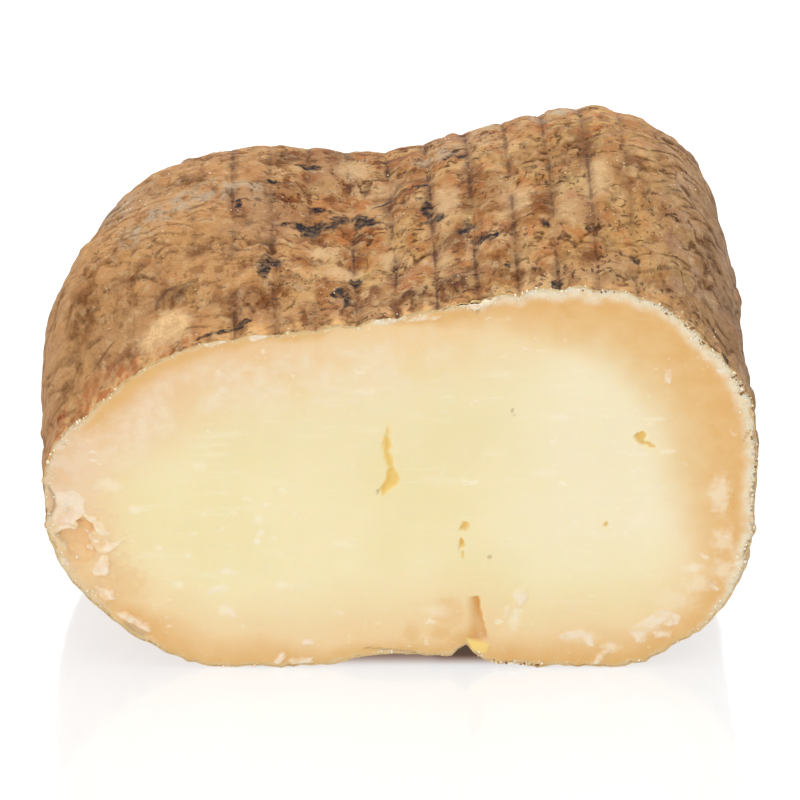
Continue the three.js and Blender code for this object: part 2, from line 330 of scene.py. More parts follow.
# The wheel's two sheets. Both use the waist's points, and the underside has every second line across.
top = wheel_points(across_lines, back_lines, top_height)
under = wheel_points(across_lines[::2], back_lines, under_height)[1:-1, :-1]
skin = np.concatenate([top.reshape(-1, 3), under.reshape(-1, 3)])
top_numbers = numbered(top, 0)
under_numbers = np.empty((len(across_lines[::2]), len(back_lines)), int)
under_numbers[0] = top_numbers[0]
under_numbers[-1] = top_numbers[-1]
under_numbers[:, -1] = top_numbers[::2, -1]
under_numbers[1:-1, :-1] = numbered(under, top_numbers.size)
skin_faces = np.concatenate([
    cells_of(top_numbers),
    cells_of(under_numbers[:, :-1], turned=True),
    joined_ends(under_numbers[:, -2], top_numbers[:, -1]),
])
skin_normal = normals_of(skin, skin_faces)
front_ring = np.concatenate([top_numbers[:, 0], under_numbers[-2:0:-1, 0]])
skin_normal[front_ring, 1] = 0
skin_normal[front_ring] /= np.linalg.norm(skin_normal[front_ring], axis=1, keepdims=True)

SCALE_PITCH = 5.2  # dry scales overlap along the ribs, from the back towards the cut
SCALE_WARP = 4.5
SCALE_HEIGHT = 0.3
SCALE_EDGE = 0.16  # share of a scale's length that its broken edge takes
BLISTER_SIZE = 6.2
BLISTER_SHARE = 0.62
BLISTER_RADII = (1.3, 2.9)
BLISTER_HEIGHT = 0.65
MOAT_DEPTH = 0.3  # the skin sinks a little round a blister
CREASE_SIZE = 4.2
CREASE_DEPTH = 0.4
CREASE_WIDTH = 0.12
FOLD_SIZE = 7.0
RELIEF_MEAN = 0.25  # what the rough relief adds on average
PIT_SIZE = 3.4
PIT_SHARE = 0.3
PIT_RADII = (0.5, 1.1)
PIT_DEPTH = 0.4
CRUST_HEIGHT = 0.4
DARK_BLISTER_HEIGHT = 0.5

x, y, z = skin.T
depth = y - FRONT
rib = np.floor(groove_phase(x, depth))
level = smooth((np.abs(skin_normal[:, 2]) - 0.35) / 0.5)
wall = 1 - level
sideways = skin_normal[:, 0] ** 2 / np.maximum(skin_normal[:, 0] ** 2 + skin_normal[:, 1] ** 2, 1e-9)
ALONG_RIBS = [0.9, 0.55, 1]  # marks on the top are longer than wide, along the ribs
ROUND_SIDES = [0.55, 1, 0.55]  # on the left and right they are folds that run down over the shoulder
DOWN_BACK = [1, 1, 0.5]


def laid(noise, points, *settings):
    """The noise with its marks drawn out along the ribs on the top, and down the walls."""
    down = mix(noise(points * DOWN_BACK, *settings), noise(points * ROUND_SIDES, *settings), sideways)
    return mix(noise(points * ALONG_RIBS, *settings), down, wall)


# Each rib has its own start, so that the scales of one rib don't line up with those of the next.
MOST_RIBS = 64
rib_start = np.random.default_rng(3).random(MOST_RIBS)[rib.astype(int) % MOST_RIBS]
rib_start = rib_start * groove_share(x) * level
walk = depth + 0.3 * (LEFT_WAIST - z) * smooth((depth - 60) / 40)
scale_phase = (walk + SCALE_WARP * rough(skin, 13, 11, 2)) / SCALE_PITCH + rib_start
scale_place = scale_phase % 1
scale_shape = np.minimum(scale_place / SCALE_EDGE, (1 - scale_place) / (1 - SCALE_EDGE))
flank = mix(1, 0.35, groove_share(x) * level)
scale_strength = smooth(0.45 + 0.9 * grain(skin, 11, 21)) * flank
ruffled = skin + 0.9 * np.stack([rough(skin, 3.6, seed, 2) for seed in (26, 27, 28)], axis=1)
blister_way, blister_gap, blister_mark = spots(ruffled * [1, 0.62, 0.9], BLISTER_SIZE, 31)
blister_radius = mix(*BLISTER_RADII, blister_mark / BLISTER_SHARE)
blister = np.where(blister_mark < BLISTER_SHARE, blister_gap / blister_radius, 3)
# The far half of a blister, behind its middle: the skin's moat sinks deeper there, and the ring round it is
# painted dark there as its shade.
blister_far_side = smooth(0.35 + 0.65 * blister_way[:, 1] / np.maximum(blister_gap, 0.1))
fold = grain(ruffled * ROUND_SIDES, FOLD_SIZE, 46)
crease = mix(laid(grain, ruffled, CREASE_SIZE, 36), fold, wall * sideways)
crease_share = smooth(0.4 + 1.3 * grain(skin, 13, 38) + 0.25 * wall * sideways)
_, pit_gap, pit_mark = spots(skin, PIT_SIZE, 41)
pit_radius = mix(*PIT_RADII, pit_mark / PIT_SHARE)
pit = np.where(pit_mark < PIT_SHARE, 1 - smooth(pit_gap / pit_radius), 0)
groove_gap = np.abs(groove_phase(x, depth) - np.round(groove_phase(x, depth))) * GROOVE_PITCH
# Some grooves kept their dirt and some were brushed clean. One shallow groove on the left is dark all the
# way.
DARK_GROOVE = -4
groove_number = np.round(groove_phase(x, depth)).astype(int)
groove_dirt = np.random.default_rng(5).uniform(0.6, 1, MOST_RIBS)[groove_number % MOST_RIBS]
groove_dirt = groove_dirt * mix(0.15, 1, groove_share(x))
groove_dirt = np.where(groove_number == DARK_GROOVE, 0.8, groove_dirt)
groove_strength = groove_dirt * level * smooth(0.8 + 1.3 * grain(skin * ALONG_RIBS, 7, 51))

# Each rib took up the dirt in its own way, in lengths of about a centimetre.
TONE_LENGTH = 13
TONES = 997
tone_step = np.floor(walk / TONE_LENGTH + rib * 0.37 + 0.8 * grain(skin, 9, 56)).astype(int)
tone = np.random.default_rng(7).random(TONES)[(rib.astype(int) * 31 + tone_step * 7) % TONES]
rib_tone = tone * groove_share(x) * level

mat = np.abs(np.sin(np.pi * groove_phase(x, depth))) ** GROOVE_ROUNDNESS - 1
mat = mat * groove_share(x)
pressed = BASE_GROOVE_DEPTH * np.minimum(mat + BASE_RIB_FLAT, 0)
groove = level * np.where(skin_normal[:, 2] > 0, GROOVE_DEPTH * mat, pressed)
relief = groove + lump_relief(x, depth, z) * smooth(z / LEFT_WAIST)
relief += SCALE_HEIGHT * (scale_shape - 0.4) * scale_strength
relief += BLISTER_HEIGHT * np.clip(1 - blister ** 2, 0, 1) ** 0.7
relief -= MOAT_DEPTH * np.exp(-((blister - 1.15) / 0.25) ** 2) * blister_far_side
relief -= CREASE_DEPTH * np.exp(-(crease / CREASE_WIDTH) ** 2) * crease_share
relief -= PIT_DEPTH * pit
relief += CRUST_HEIGHT * laid(rough, skin, 5, 61, 4) - RELIEF_MEAN
skin = skin + skin_normal * relief[:, None]
skin[:, 2] = np.maximum(skin[:, 2], 0)
skin[front_ring, 1] = FRONT

# The edge that the knife left is thin: rings from the outer edge inwards over the cut, and then back behind
# the paste. Each has its distance in from the edge and how far it stands out of the cut.
RIM_STEPS = [(0.12, 0.06), (0.26, 0.02), (0.4, -0.3), (0.55, -1.4)]
RING_STEP = 5  # points to each side that give the way along the ring

ring = skin[front_ring]
along = np.roll(ring, -RING_STEP, axis=0) - np.roll(ring, RING_STEP, axis=0)
inward = np.stack([along[:, 2], np.zeros(len(ring)), -along[:, 0]], axis=1)
inward /= np.linalg.norm(inward, axis=1, keepdims=True)
rim_width = np.clip(1 + 0.9 * rough(ring, 5, 71, 2), 0.5, 2)
rim = []
for inset, stand in RIM_STEPS:
    place = ring + inward * (inset * rim_width)[:, None]
    place[:, 1] = FRONT - stand
    rim.append(place)
rim = np.stack(rim, axis=1)
rim_numbers = numbered(rim, len(skin))

# The inner face of the rind, which the paste hides, is plain.
INNER_BACK = np.array([0.03, 0.1, 0.25, 0.45, 0.65, 0.82, 0.93, 0.985])


def shrunk(points, by):
    """The points moved inwards by this distance, by scaling the wheel about the middle of its waist."""
    across_scale = 1 - by / RIGHT_REACH
    depth_scale = 1 - by / DEPTH
    high_scale = 1 - by / LEFT_WAIST
    x, y, z = np.moveaxis(points, -1, 0)
    return np.stack([x * across_scale, FRONT + (y - FRONT) * depth_scale,
                     LEFT_WAIST + (z - LEFT_WAIST) * high_scale], axis=-1)


def inner_sheet(top_lines, under_lines, by, first):
    """The wheel's surface moved inwards, as one grid whose rows begin round the cut. Gives the points, their
    numbers from first on, and the last points over the waist and under it."""
    top = shrunk(wheel_points(top_lines, INNER_BACK, top_height), by)
    under = shrunk(wheel_points(under_lines, INNER_BACK, under_height), by)
    points = np.concatenate([top, under[-2:0:-1]])
    numbers = numbered(points, first)
    last_top = numbers[:len(top_lines), -1]
    last_under = np.concatenate([last_top[:1], numbers[:len(top_lines) - 1:-1, -1], last_top[-1:]])
    return points, numbers, last_top, last_under


def closed_rows(*grids):
    """Grids of point numbers side by side, with the first row once more at the end."""
    rows = np.concatenate(grids, axis=1)
    return np.concatenate([rows, rows[:1]])


inner, inner_numbers, last_top, last_under = inner_sheet(
    across_lines, across_lines[::2], RIND_THICKNESS, len(skin) + rim_numbers.size)
rind_rows = closed_rows(front_ring[:, None], rim_numbers, inner_numbers)
rind_points = np.concatenate([skin, rim.reshape(-1, 3), inner.reshape(-1, 3)])
rind_faces = np.concatenate([
    skin_faces,
    cells_of(rind_rows, turned=True),
    joined_ends(last_under, last_top)[:, ::-1],
])

# Spots of blue mould: x, depth behind the cut, half length, half width and turn in degrees.
MOULD = [
    (-19.5, 45, 2.6, 3.4, 20), (-16, 47.5, 2.0, 2.6, 60), (-12.5, 51, 2.4, 4.4, 0), (-8, 49, 2.8, 4.4, 30),
    (-26.5, 27, 3.4, 2.6, 40), (-28.5, 23, 1.8, 3.0, 0), (-9.3, 20, 1.6, 2.4, 0), (-12, 14, 1.9, 3.2, 0),
    (-11, 10, 0.9, 2.6, 0), (-37, 3, 6.0, 0.6, 10), (-32, 5, 1.8, 1.0, 40), (6, 46, 1.3, 4.6, 5),
    (7.5, 40, 2.6, 2.0, -20), (14.5, 32, 2.0, 2.8, 0), (18.3, 24, 2.0, 1.8, 10), (31.7, 1.8, 1.4, 2.0, 0),
    (39, 22.5, 1.4, 1.1, 0), (30, 25, 1.2, 1.8, 20), (-17, 57, 3.0, 1.3, 10), (-27, 66, 2.8, 1.0, 0),
    (5, 60, 1.8, 1.0, 0), (48, 12, 1.2, 0.9, 0), (-34, 52, 0.9, 3.0, 0), (-24.5, 46, 2.2, 1.0, 40),
    (-20, 79, 4.5, 1.6, 0), (-4, 57, 2.6, 1.0, 20), (22, 12, 1.0, 0.8, 0), (12, 71, 2.4, 1.2, 0),
    (66.4, 0.9, 1.4, 1.7, 0),
]
# Bare patches of pale rind, films of grey mould and patches of brown, with the same numbers.
PALE = [(9.6, 47, 2.9, 8.5, 0), (-10, 79, 3.0, 5.0, 0), (-48, 8.5, 5.0, 4.6, 0), (-12, 24, 4, 3, 0),
        (24, 40, 3, 6, 0), (41, 42, 2.6, 8, 0), (-2, 28, 2.4, 4, 0), (-16, 34, 3, 3, 0)]
GREY = [(-50, 52, 7, 4, 20), (-42, 57, 8, 4, 8), (-34, 60, 6, 3.4, 0), (-55, 44, 4, 6, 0),
        (8, 76, 5, 4, 0), (34, 84, 6, 5, 0), (-60, 66, 4, 8, 0), (18, 92, 6, 4, 0)]
# Dark blisters of dried whey that stand up like drops of glue.
BLISTERS = [(11.3, 9, 2.6, 3.6, 0), (-47, 19, 3.0, 2.4, 25), (1.5, 8, 1.8, 1.6, 0)]
BROWN = [(-47, 18.5, 3.8, 3.0, 25), (4, 6.5, 2.6, 1.8, 0), (-42, 34, 5, 3.5, 0),
         (-21, 80, 8, 4, 0), (-45, 66, 6, 4, 0), (0, 57, 4, 5, 0), (25, 8, 4, 1.6, 0), (36, 60, 5, 9, 0),
         (-66, 26, 3, 7, 0), (-30, 15, 4, 2, 0), (16, 60, 4, 6, 0), (-24, 18, 5, 2.5, 0), (-5, 8, 4, 2.2, 0),
         (12, 28, 4, 5, 0), (-55, 8, 4, 2.4, 0), (38, 12, 6, 2, 0), (30, 34, 3, 6, 0), (48, 46, 3, 8, 0)]


def patches(points, places, soft):
    """1 in the middle of the nearest of the ellipses on the top and 0 well outside it, with a ragged edge."""
    ragged = soft * rough(points * ALONG_RIBS, 2.0, 91, 2)
    most = np.zeros(len(points))
    for place_x, place_depth, length, width, turn in places:
        off = points[:, 0] - place_x
        behind = points[:, 1] - FRONT - place_depth
        cos = np.cos(np.radians(turn))
        sin = np.sin(np.radians(turn))
        far = np.hypot((off * cos + behind * sin) / length, (behind * cos - off * sin) / width)
        most = np.maximum(most, 1 - smooth((far + ragged - 0.4) / 1.2))
    return most * (points[:, 2] > LEFT_WAIST)


def spread(values, rest):
    """The skin's values, followed by one value for all points of the rim and the inner face."""
    return np.concatenate([values, np.full(len(rind_points) - len(skin), float(rest))])


dark_blister = patches(skin, BLISTERS, 0.3)
skin = skin + skin_normal * (DARK_BLISTER_HEIGHT * dark_blister)[:, None]
rind_points[:len(skin)] = skin
hidden_mould = smooth((rough(skin, 16, 101, 3) - 0.62) / 0.2) * smooth((depth - 100) / 8)
mould = np.maximum(patches(skin, MOULD, 0.55), hidden_mould)
rim_mark = spread(np.zeros(len(skin)), 1)
rim_mark[front_ring] = 0.5
# The marks that aren't 0 on the rim and the inner face.
PLAIN_MARKS = {"blister": 3, "crease": 1, "groove": 9, "wall": 1}
rind_marks = {
    "scale": scale_phase, "scale_strength": scale_strength, "blister": blister, "blister_far_side": blister_far_side,
    "crease": np.abs(crease), "crease_share": crease_share, "pit": pit, "groove": groove_gap,
    "groove_strength": groove_strength, "rib_tone": rib_tone, "wall": wall, "sideways": sideways,
    "mould": mould, "dark_blister": dark_blister, "pale": patches(skin, PALE, 0.3),
    "grey": patches(skin, GREY, 0.5), "brown": patches(skin, BROWN, 0.4),
}
rind_marks = {mark: spread(values, PLAIN_MARKS.get(mark, 0)) for mark, values in rind_marks.items()}
rind_marks["rim"] = rim_mark


def linear(hex_colour):
    """An sRGB hex colour such as C39A6B as a linear colour with alpha."""
    parts = [int(hex_colour[i:i + 2], 16) / 255 for i in (0, 2, 4)]
    return [p / 12.92 if p <= 0.04045 else ((p + 0.055) / 1.055) ** 2.4 for p in parts] + [1.0]


def add_node(tree, kind, settings, inputs, output=0):
    """Adds a node with its settings. An input is a value, or another node's output to link. Gives the
    node's output of that number or name."""
    node = tree.nodes.new(kind)
    for name, value in settings.items():
        setattr(node, name, value)
    for key, value in inputs.items():
        if isinstance(value, bpy.types.NodeSocket):
            tree.links.new(value, node.inputs[key])
        else:
            node.inputs[key].default_value = value
    return node.outputs[output] if node.outputs else node


def new_material(name):
    """An empty node material. Gives it, its tree and the place on the piece in metres, and then how far
    that is to the right, behind the cut and up in millimetres."""
    material = bpy.data.materials.new(name)
    material.use_nodes = True
    tree = material.node_tree
    tree.nodes.clear()
    place = add_node(tree, "ShaderNodeTexCoord", {}, {}, "Object")
    from_cut = add_node(tree, "ShaderNodeVectorMath", {"operation": "MULTIPLY_ADD"},
                        {0: place, 1: [1 / MM] * 3, 2: (0, -FRONT, 0)})
    return material, tree, place, *add_node(tree, "ShaderNodeSeparateXYZ", {}, {0: from_cut}).node.outputs


def term(tree, part):
    """A part of a mask. A number or a node's output stays, a word is the mesh's mark of that name, and a
    value with two limits becomes a soft step: 0 at the first limit and 1 at the second."""
    if isinstance(part, str):
        return add_node(tree, "ShaderNodeAttribute", {"attribute_name": part}, {}, "Fac")
    if isinstance(part, tuple):
        value, low, high = part
        return add_node(tree, "ShaderNodeMapRange", {"interpolation_type": "SMOOTHSTEP"},
                        {"Value": term(tree, value), "From Min": low, "From Max": high})
    return part


def joined(tree, operation, *parts):
    """The parts joined one after another by this operation."""
    total = term(tree, parts[0])
    for part in parts[1:]:
        total = add_node(tree, "ShaderNodeMath", {"operation": operation}, {0: total, 1: term(tree, part)})
    return total


def mask(tree, *parts):
    """The parts multiplied."""
    return joined(tree, "MULTIPLY", *parts)


def ranged(tree, part, low, high=1):
    """The part stretched in a straight line, so that its 0 becomes low and its 1 high."""
    return joined(tree, "ADD", mask(tree, part, high - low), low)


def blotch(tree, place, size, low, high, detail=3, stretch=(1, 1, 1)):
    """Noise of this size in millimetres, turned into a mask that rises softly from low to high."""
    scaled = add_node(tree, "ShaderNodeVectorMath", {"operation": "MULTIPLY"},
                      {0: place, 1: [1 / (size * MM * s) for s in stretch]})
    noise = add_node(tree, "ShaderNodeTexNoise", {}, {"Vector": scaled, "Scale": 1, "Detail": detail})
    return term(tree, (noise, low, high))


def stains(tree, place, size, low, high, detail=3):
    """Blotches that are drawn out along the ribs on the rind's top, and down its walls."""
    noises = []
    for squeeze in (ALONG_RIBS, DOWN_BACK, ROUND_SIDES):
        scaled = add_node(tree, "ShaderNodeVectorMath", {"operation": "MULTIPLY"},
                          {0: place, 1: [s / (size * MM) for s in squeeze]})
        noises.append(add_node(tree, "ShaderNodeTexNoise", {},
                               {"Vector": scaled, "Scale": 1, "Detail": detail}))
    down = add_node(tree, "ShaderNodeMix", {"data_type": "FLOAT"},
                    {0: term(tree, "sideways"), 2: noises[1], 3: noises[2]})
    noise = add_node(tree, "ShaderNodeMix", {"data_type": "FLOAT"},
                     {0: term(tree, "wall"), 2: noises[0], 3: down})
    return term(tree, (noise, low, high))


def arcs(tree, place, size, share):
    """Small blisters, one in each cell of a Voronoi pattern of this size, in this share of the cells. Gives
    the crack that runs round the far half of a blister, painted dark as the shade behind its dome, and the
    dome."""
    scaled = add_node(tree, "ShaderNodeVectorMath", {"operation": "SCALE"},
                      {0: place, "Scale": 1 / (size * MM)})
    wander = add_node(tree, "ShaderNodeTexNoise", {}, {"Vector": scaled, "Scale": 2.2, "Detail": 2}, "Color")
    bent = add_node(tree, "ShaderNodeVectorMath", {"operation": "MULTIPLY_ADD"},
                    {0: wander, 1: [0.5] * 3, 2: scaled})
    gap = add_node(tree, "ShaderNodeTexVoronoi", {}, {"Vector": bent, "Scale": 1}, "Distance")
    way = add_node(tree, "ShaderNodeVectorMath", {"operation": "SUBTRACT"},
                   {0: bent, 1: gap.node.outputs["Position"]})
    way = add_node(tree, "ShaderNodeSeparateXYZ", {}, {0: way}).node.outputs
    back = add_node(tree, "ShaderNodeMix", {"data_type": "FLOAT"},
                    {0: term(tree, "wall"), 2: way["Y"], 3: way["Z"]})
    chance = add_node(tree, "ShaderNodeSeparateColor", {}, {0: gap.node.outputs["Color"]})
    chance = term(tree, (chance, share, share - 0.05))
    crack = mask(tree, (gap, 0.2, 0.31), (gap, 0.43, 0.32), (back, 0, 0.25), chance,
                 blotch(tree, place, size / 3, 0.4, 0.6, 2))
    return crack, mask(tree, (gap, 0.34, 0.08), chance)


def painted(tree, ground, layers):
    """The ground colour under layers. Each is a colour and the parts of the mask that it is laid with."""
    paint = linear(ground)
    for colour, *parts in layers:
        paint = add_node(tree, "ShaderNodeMix", {"data_type": "RGBA"},
                         {0: mask(tree, *parts), 6: paint, 7: linear(colour)}, 2)
    return paint


# Natural rind, dried and brushed: matt, tan to brown, with dark broken edges on the scales, purplish dirt in
# the mat's grooves, shade painted behind the blisters and a golden glow painted where light comes through
# beside the cut.
rind_material, tree, place, across_mm, depth_mm, height_mm = new_material("natural_rind_dried_and_brushed")
scale_saw = add_node(tree, "ShaderNodeMath", {"operation": "FRACT"}, {0: term(tree, "scale")})
scale_line = mask(tree, (scale_saw, 0.24, 0.05), (scale_saw, -0.02, 0.03), "scale_strength",
                  blotch(tree, place, 2.4, 0.38, 0.56))
# The dirt in a groove wanders a little to both sides of its middle.
wander = ranged(tree, stains(tree, place, 3, 0, 1), -0.4, 0.4)
groove_gap = add_node(tree, "ShaderNodeMath", {"operation": "ABSOLUTE"},
                      {0: joined(tree, "ADD", "groove", wander)})
groove_line = mask(tree, (groove_gap, 0.6, 0.15), "groove_strength", blotch(tree, place, 3, 0.32, 0.48))
groove_stain = mask(tree, (groove_gap, 1.9, 0.5), "groove_strength", blotch(tree, place, 5, 0.3, 0.55))
# Creases come in short lengths on the top and in long ones on the sides.
lengths = add_node(tree, "ShaderNodeMix", {"data_type": "FLOAT"}, {
    0: mask(tree, "wall", "sideways"),
    2: blotch(tree, place, 1.6, 0.38, 0.55),
    3: blotch(tree, place, 5, 0.36, 0.5)})
crease_line = mask(tree, ("crease", 0.15, 0.04), "crease_share", lengths)
# A dark ring painted round the far half of each blister, as its shade.
blister_shade_ring = mask(tree, ("blister", 0.7, 1.0), ("blister", 1.5, 1.1), "blister_far_side",
                    blotch(tree, place, 1.8, 0.36, 0.56))
small_arc, small_dome = arcs(tree, place, 3.8, 0.42)
wide_arc, wide_dome = arcs(tree, place, 7.0, 0.6)
arc = mask(tree, joined(tree, "MAXIMUM", small_arc, wide_arc), ranged(tree, "pale", 1, 0.2))
dome = joined(tree, "MAXIMUM", small_dome, wide_dome)
mould_spread = joined(tree, "ADD", "mould", mask(tree, stains(tree, place, 1.2, 0.3, 0.7), 0.5))
mould_core = mask(tree, (mould_spread, 0.78, 1.15), ranged(tree, blotch(tree, place, 1.3, 0.4, 0.56), 0.25))
mould_stain = mask(tree, (mould_spread, 0.45, 1.0), ranged(tree, blotch(tree, place, 1.8, 0.38, 0.56), 0.4))
# Curd was smeared over the edge of the rind at the lower right.
smeared = mask(tree, (depth_mm, 5, 1), (across_mm, 34, 50), (height_mm, 46, 30))
# The golden band beside the cut is a painted glow, where light comes through the rind.
golden = mask(tree, (depth_mm, 6.5, 0.5), stains(tree, place, 4, 0.3, 0.62),
              ranged(tree, (across_mm, 32, -8), 0.45))
red = mask(tree, (depth_mm, 14, 3), (across_mm, -34, -50), stains(tree, place, 3, 0.42, 0.58))
cluster = mask(tree, blotch(tree, place, 9, 0.36, 0.6), ranged(tree, "wall", 1, 0.6))
# There are fewer dark lines on the left and fewer broad stains on both sides, and pale and golden places
# are nearly clean.
quiet = ranged(tree, (across_mm, -42, -18), 0.6)
calm = mask(tree, quiet, ranged(tree, (across_mm, 36, 20), 0.5))
unbleached = ranged(tree, mask(tree, ("pale", 0.8, 0.2), (golden, 1.2, 0)), 0.15)
rind_colour = painted(tree, "B68B55", [
    # The ground, in drifts of tan, straw and brown.
    ("C39C6A", stains(tree, place, 5, 0.42, 0.62), 0.85),
    ("B39A66", stains(tree, place, 9, 0.52, 0.66), 0.55),
    ("C09C70", ("rib_tone", 0.55, 0.95), 0.6),
    ("9A5E2A", stains(tree, place, 6, 0.48, 0.66), calm, 0.8),
    ("A8622E", stains(tree, place, 4, 0.5, 0.66), 0.6),
    ("CE9E68", (across_mm, -10, -40), 0.6),
    ("C49C74", "wall", (across_mm, -44, -64), 0.5),
    ("94663A", "wall", stains(tree, place, 11, 0.5, 0.66), 0.35),
    ("7E4C24", ("rib_tone", 0.4, 0.1), calm, 0.5),
    ("A07A58", blotch(tree, place, 20, 0.48, 0.65), 0.5),
    # Towards its right edge the rind is painted darker.
    ("846850", (across_mm, 46, 72), 0.7),
    ("8A6844", (across_mm, -28, -48), (depth_mm, 26, 48), "wall", 0.5),
    ("AE967A", (across_mm, 46, 62), stains(tree, place, 4, 0.5, 0.64), 0.5),
    # Beside the cut, and the brown and the bare patches.
    ("E0AE72", golden, 0.95),
    ("9A4A1C", red, 0.7),
    ("643A1C", "brown", stains(tree, place, 3, 0.36, 0.56), 0.7),
    ("CCAA7E", "pale", 0.7),
    ("E4BC88", "pale", (across_mm, -38, -44), ranged(tree, stains(tree, place, 3.5, 0.36, 0.58), 0.3),
     0.85),
    # Small stains, bleached spots and grey mould.
    ("6E3C16", stains(tree, place, 2.8, 0.48, 0.6), cluster, unbleached, calm, 0.85),
    ("C2A278", stains(tree, place, 1.8, 0.54, 0.66), ranged(tree, "wall", 0.5, 0.25)),
    ("844A1E", ("blister", 0.95, 0.4), stains(tree, place, 2.5, 0.42, 0.6), 0.45),
    ("AC9C84", "grey", stains(tree, place, 2.4, 0.38, 0.6), 0.65),
    ("6A432C", groove_stain, 0.6),
    ("C2955F", dome, 0.3),
    # Painted shade in the cracks and rings behind the blisters, and dirt in the broken edges and grooves.
    ("42220C", arc, quiet, ranged(tree, "wall", 0.85, 0.5)),
    ("42220C", blister_shade_ring, unbleached, quiet, 0.65),
    ("42220C", scale_line, unbleached, quiet, 0.8),
    # The creases and the pits are painted dark.
    ("4E2A0E", crease_line, unbleached, quiet, ranged(tree, "wall", 0.8, 0.6)),
    ("48281E", groove_line, 0.85),
    ("3C200E", "pit", unbleached, 0.7),
    ("3A1D09", stains(tree, place, 0.9, 0.58, 0.66, 2), cluster, unbleached, quiet, 0.75),
    # Dried drops, blue mould and the bare edge.
    ("5A3824", "dark_blister", ranged(tree, stains(tree, place, 1.5, 0.35, 0.6), 0.5)),
    ("4C3226", mould_stain, 0.7),
    ("191A1E", mould_core, 0.92),
    ("DDBC8E", smeared, 0.85),
    ("E2C18C", ("rim", 0.3, 0.8)),
])
fine = joined(tree, "ADD", blotch(tree, place, 0.9, 0.2, 0.8, 4), mask(tree, scale_line, -0.8),
              mask(tree, arc, -1.5), mask(tree, dome, 1.2),
              mask(tree, stains(tree, place, 2.2, 0.3, 0.7), 1.8))
bump = add_node(tree, "ShaderNodeBump", {},
                {"Strength": 0.8, "Distance": 0.35 * MM, "Height": fine}, "Normal")
rind_shader = add_node(tree, "ShaderNodeBsdfPrincipled", {}, {
    "Base Color": rind_colour, "Roughness": 0.6, "Specular IOR Level": 0.06, "Normal": bump,
    "Subsurface Weight": 0.1, "Subsurface Radius": (1.0, 0.5, 0.25), "Subsurface Scale": 1.5 * MM})
add_node(tree, "ShaderNodeOutputMaterial", {}, {"Surface": rind_shader})


def new_piece(name, points, faces, material, slot, marks):
    """A mesh object from points in millimetres, triangles and a number on each point for each mark."""
    mesh = bpy.data.meshes.new(name)
    mesh.from_pydata(points * MM, [], faces)
    for mark, values in marks.items():
        mesh.attributes.new(mark, "FLOAT", "POINT").data.foreach_set("value", values.astype(np.float32))
    mesh.shade_smooth()
    mesh.materials.append(material)
    piece = bpy.data.objects.new(name, mesh)
    bpy.context.scene.collection.objects.link(piece)
    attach(piece, "root")
    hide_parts("cheese")


new_piece("rind", rind_points, rind_faces, rind_material, "rind", rind_marks)

# ----------------------------------------------------------------------------------------------- the paste
# The pressed, ripened curd inside, bared by one cut of a long knife. It is pale in the middle and darker and
# drier towards the rind. Whey and gas left a crack, a fissure over the notch and a few eyes, and its lower
# left corner broke into flakes under the knife.
FACE_COLUMNS = 440
FACE_ROWS = 176
BORDER = 5.0  # width of the band of rings between the middle grid and the rind
BORDER_ROWS = 11
FACE_INSET = 0.08
PASTE_SHRINK = 3.3
# The crack, the fissure over the notch and the broken corner, by their corners: x and z on the face.
CRACK = [(-2.5, 59.3), (-2.1, 57.3), (-1.7, 54.2), (-1.5, 50.3), (-1, 48.2), (0.2, 45.2), (-0.6, 44),
         (-2.4, 42.6), (-3.6, 41.2), (-4.4, 43), (-3.2, 45.2), (-2.6, 48.3), (-3.4, 50.6), (-3.8, 54),
         (-2.9, 57.3)]
CRACK_DEPTH = 0.9
FISSURE = [(13.8, 17.4), (16.4, 17.4), (17.3, 12), (18.4, 7.2), (16.5, 6.5), (13.6, 7.4)]
FISSURE_WALL = [(15.4, 17.4), (16.5, 17.4), (17.4, 12), (18.5, 7.2), (17.5, 7.4), (16.4, 12)]
FISSURE_DEPTH = 1.5
FISSURE_LEFT = 13.8
BREAK = [(-71.3, 32.3), (-69.9, 33.3), (-68.8, 33.7), (-67.1, 33.4), (-66.6, 34.6), (-67.2, 35.6),
         (-65.4, 36.4), (-63.6, 34.9), (-63.2, 33.2), (-64.6, 31.8), (-63.9, 29.6), (-62.6, 28),
         (-63.2, 26.6), (-65.4, 24.8), (-67.4, 25.6), (-68.8, 27.4), (-69.4, 28.8), (-70.4, 30.6)]
BREAK_TOP = 33.5
BREAK_LENGTH = 13.0
BREAK_DEPTH = 1.7
# Eyes and their tails: x, z, half width, half height, depth.
EYES = [(49.3, 55.3, 1.1, 1.3, 1.1), (50.6, 53.9, 0.9, 0.5, 0.5), (52, 53.3, 0.8, 0.35, 0.4),
        (13.4, 33.8, 0.9, 1.2, 0.9), (12.8, 30.0, 0.65, 1.3, 1.0), (12.9, 27.4, 0.3, 1.2, 0.5),
        (42.6, 34.8, 0.5, 0.5, 0.6)]
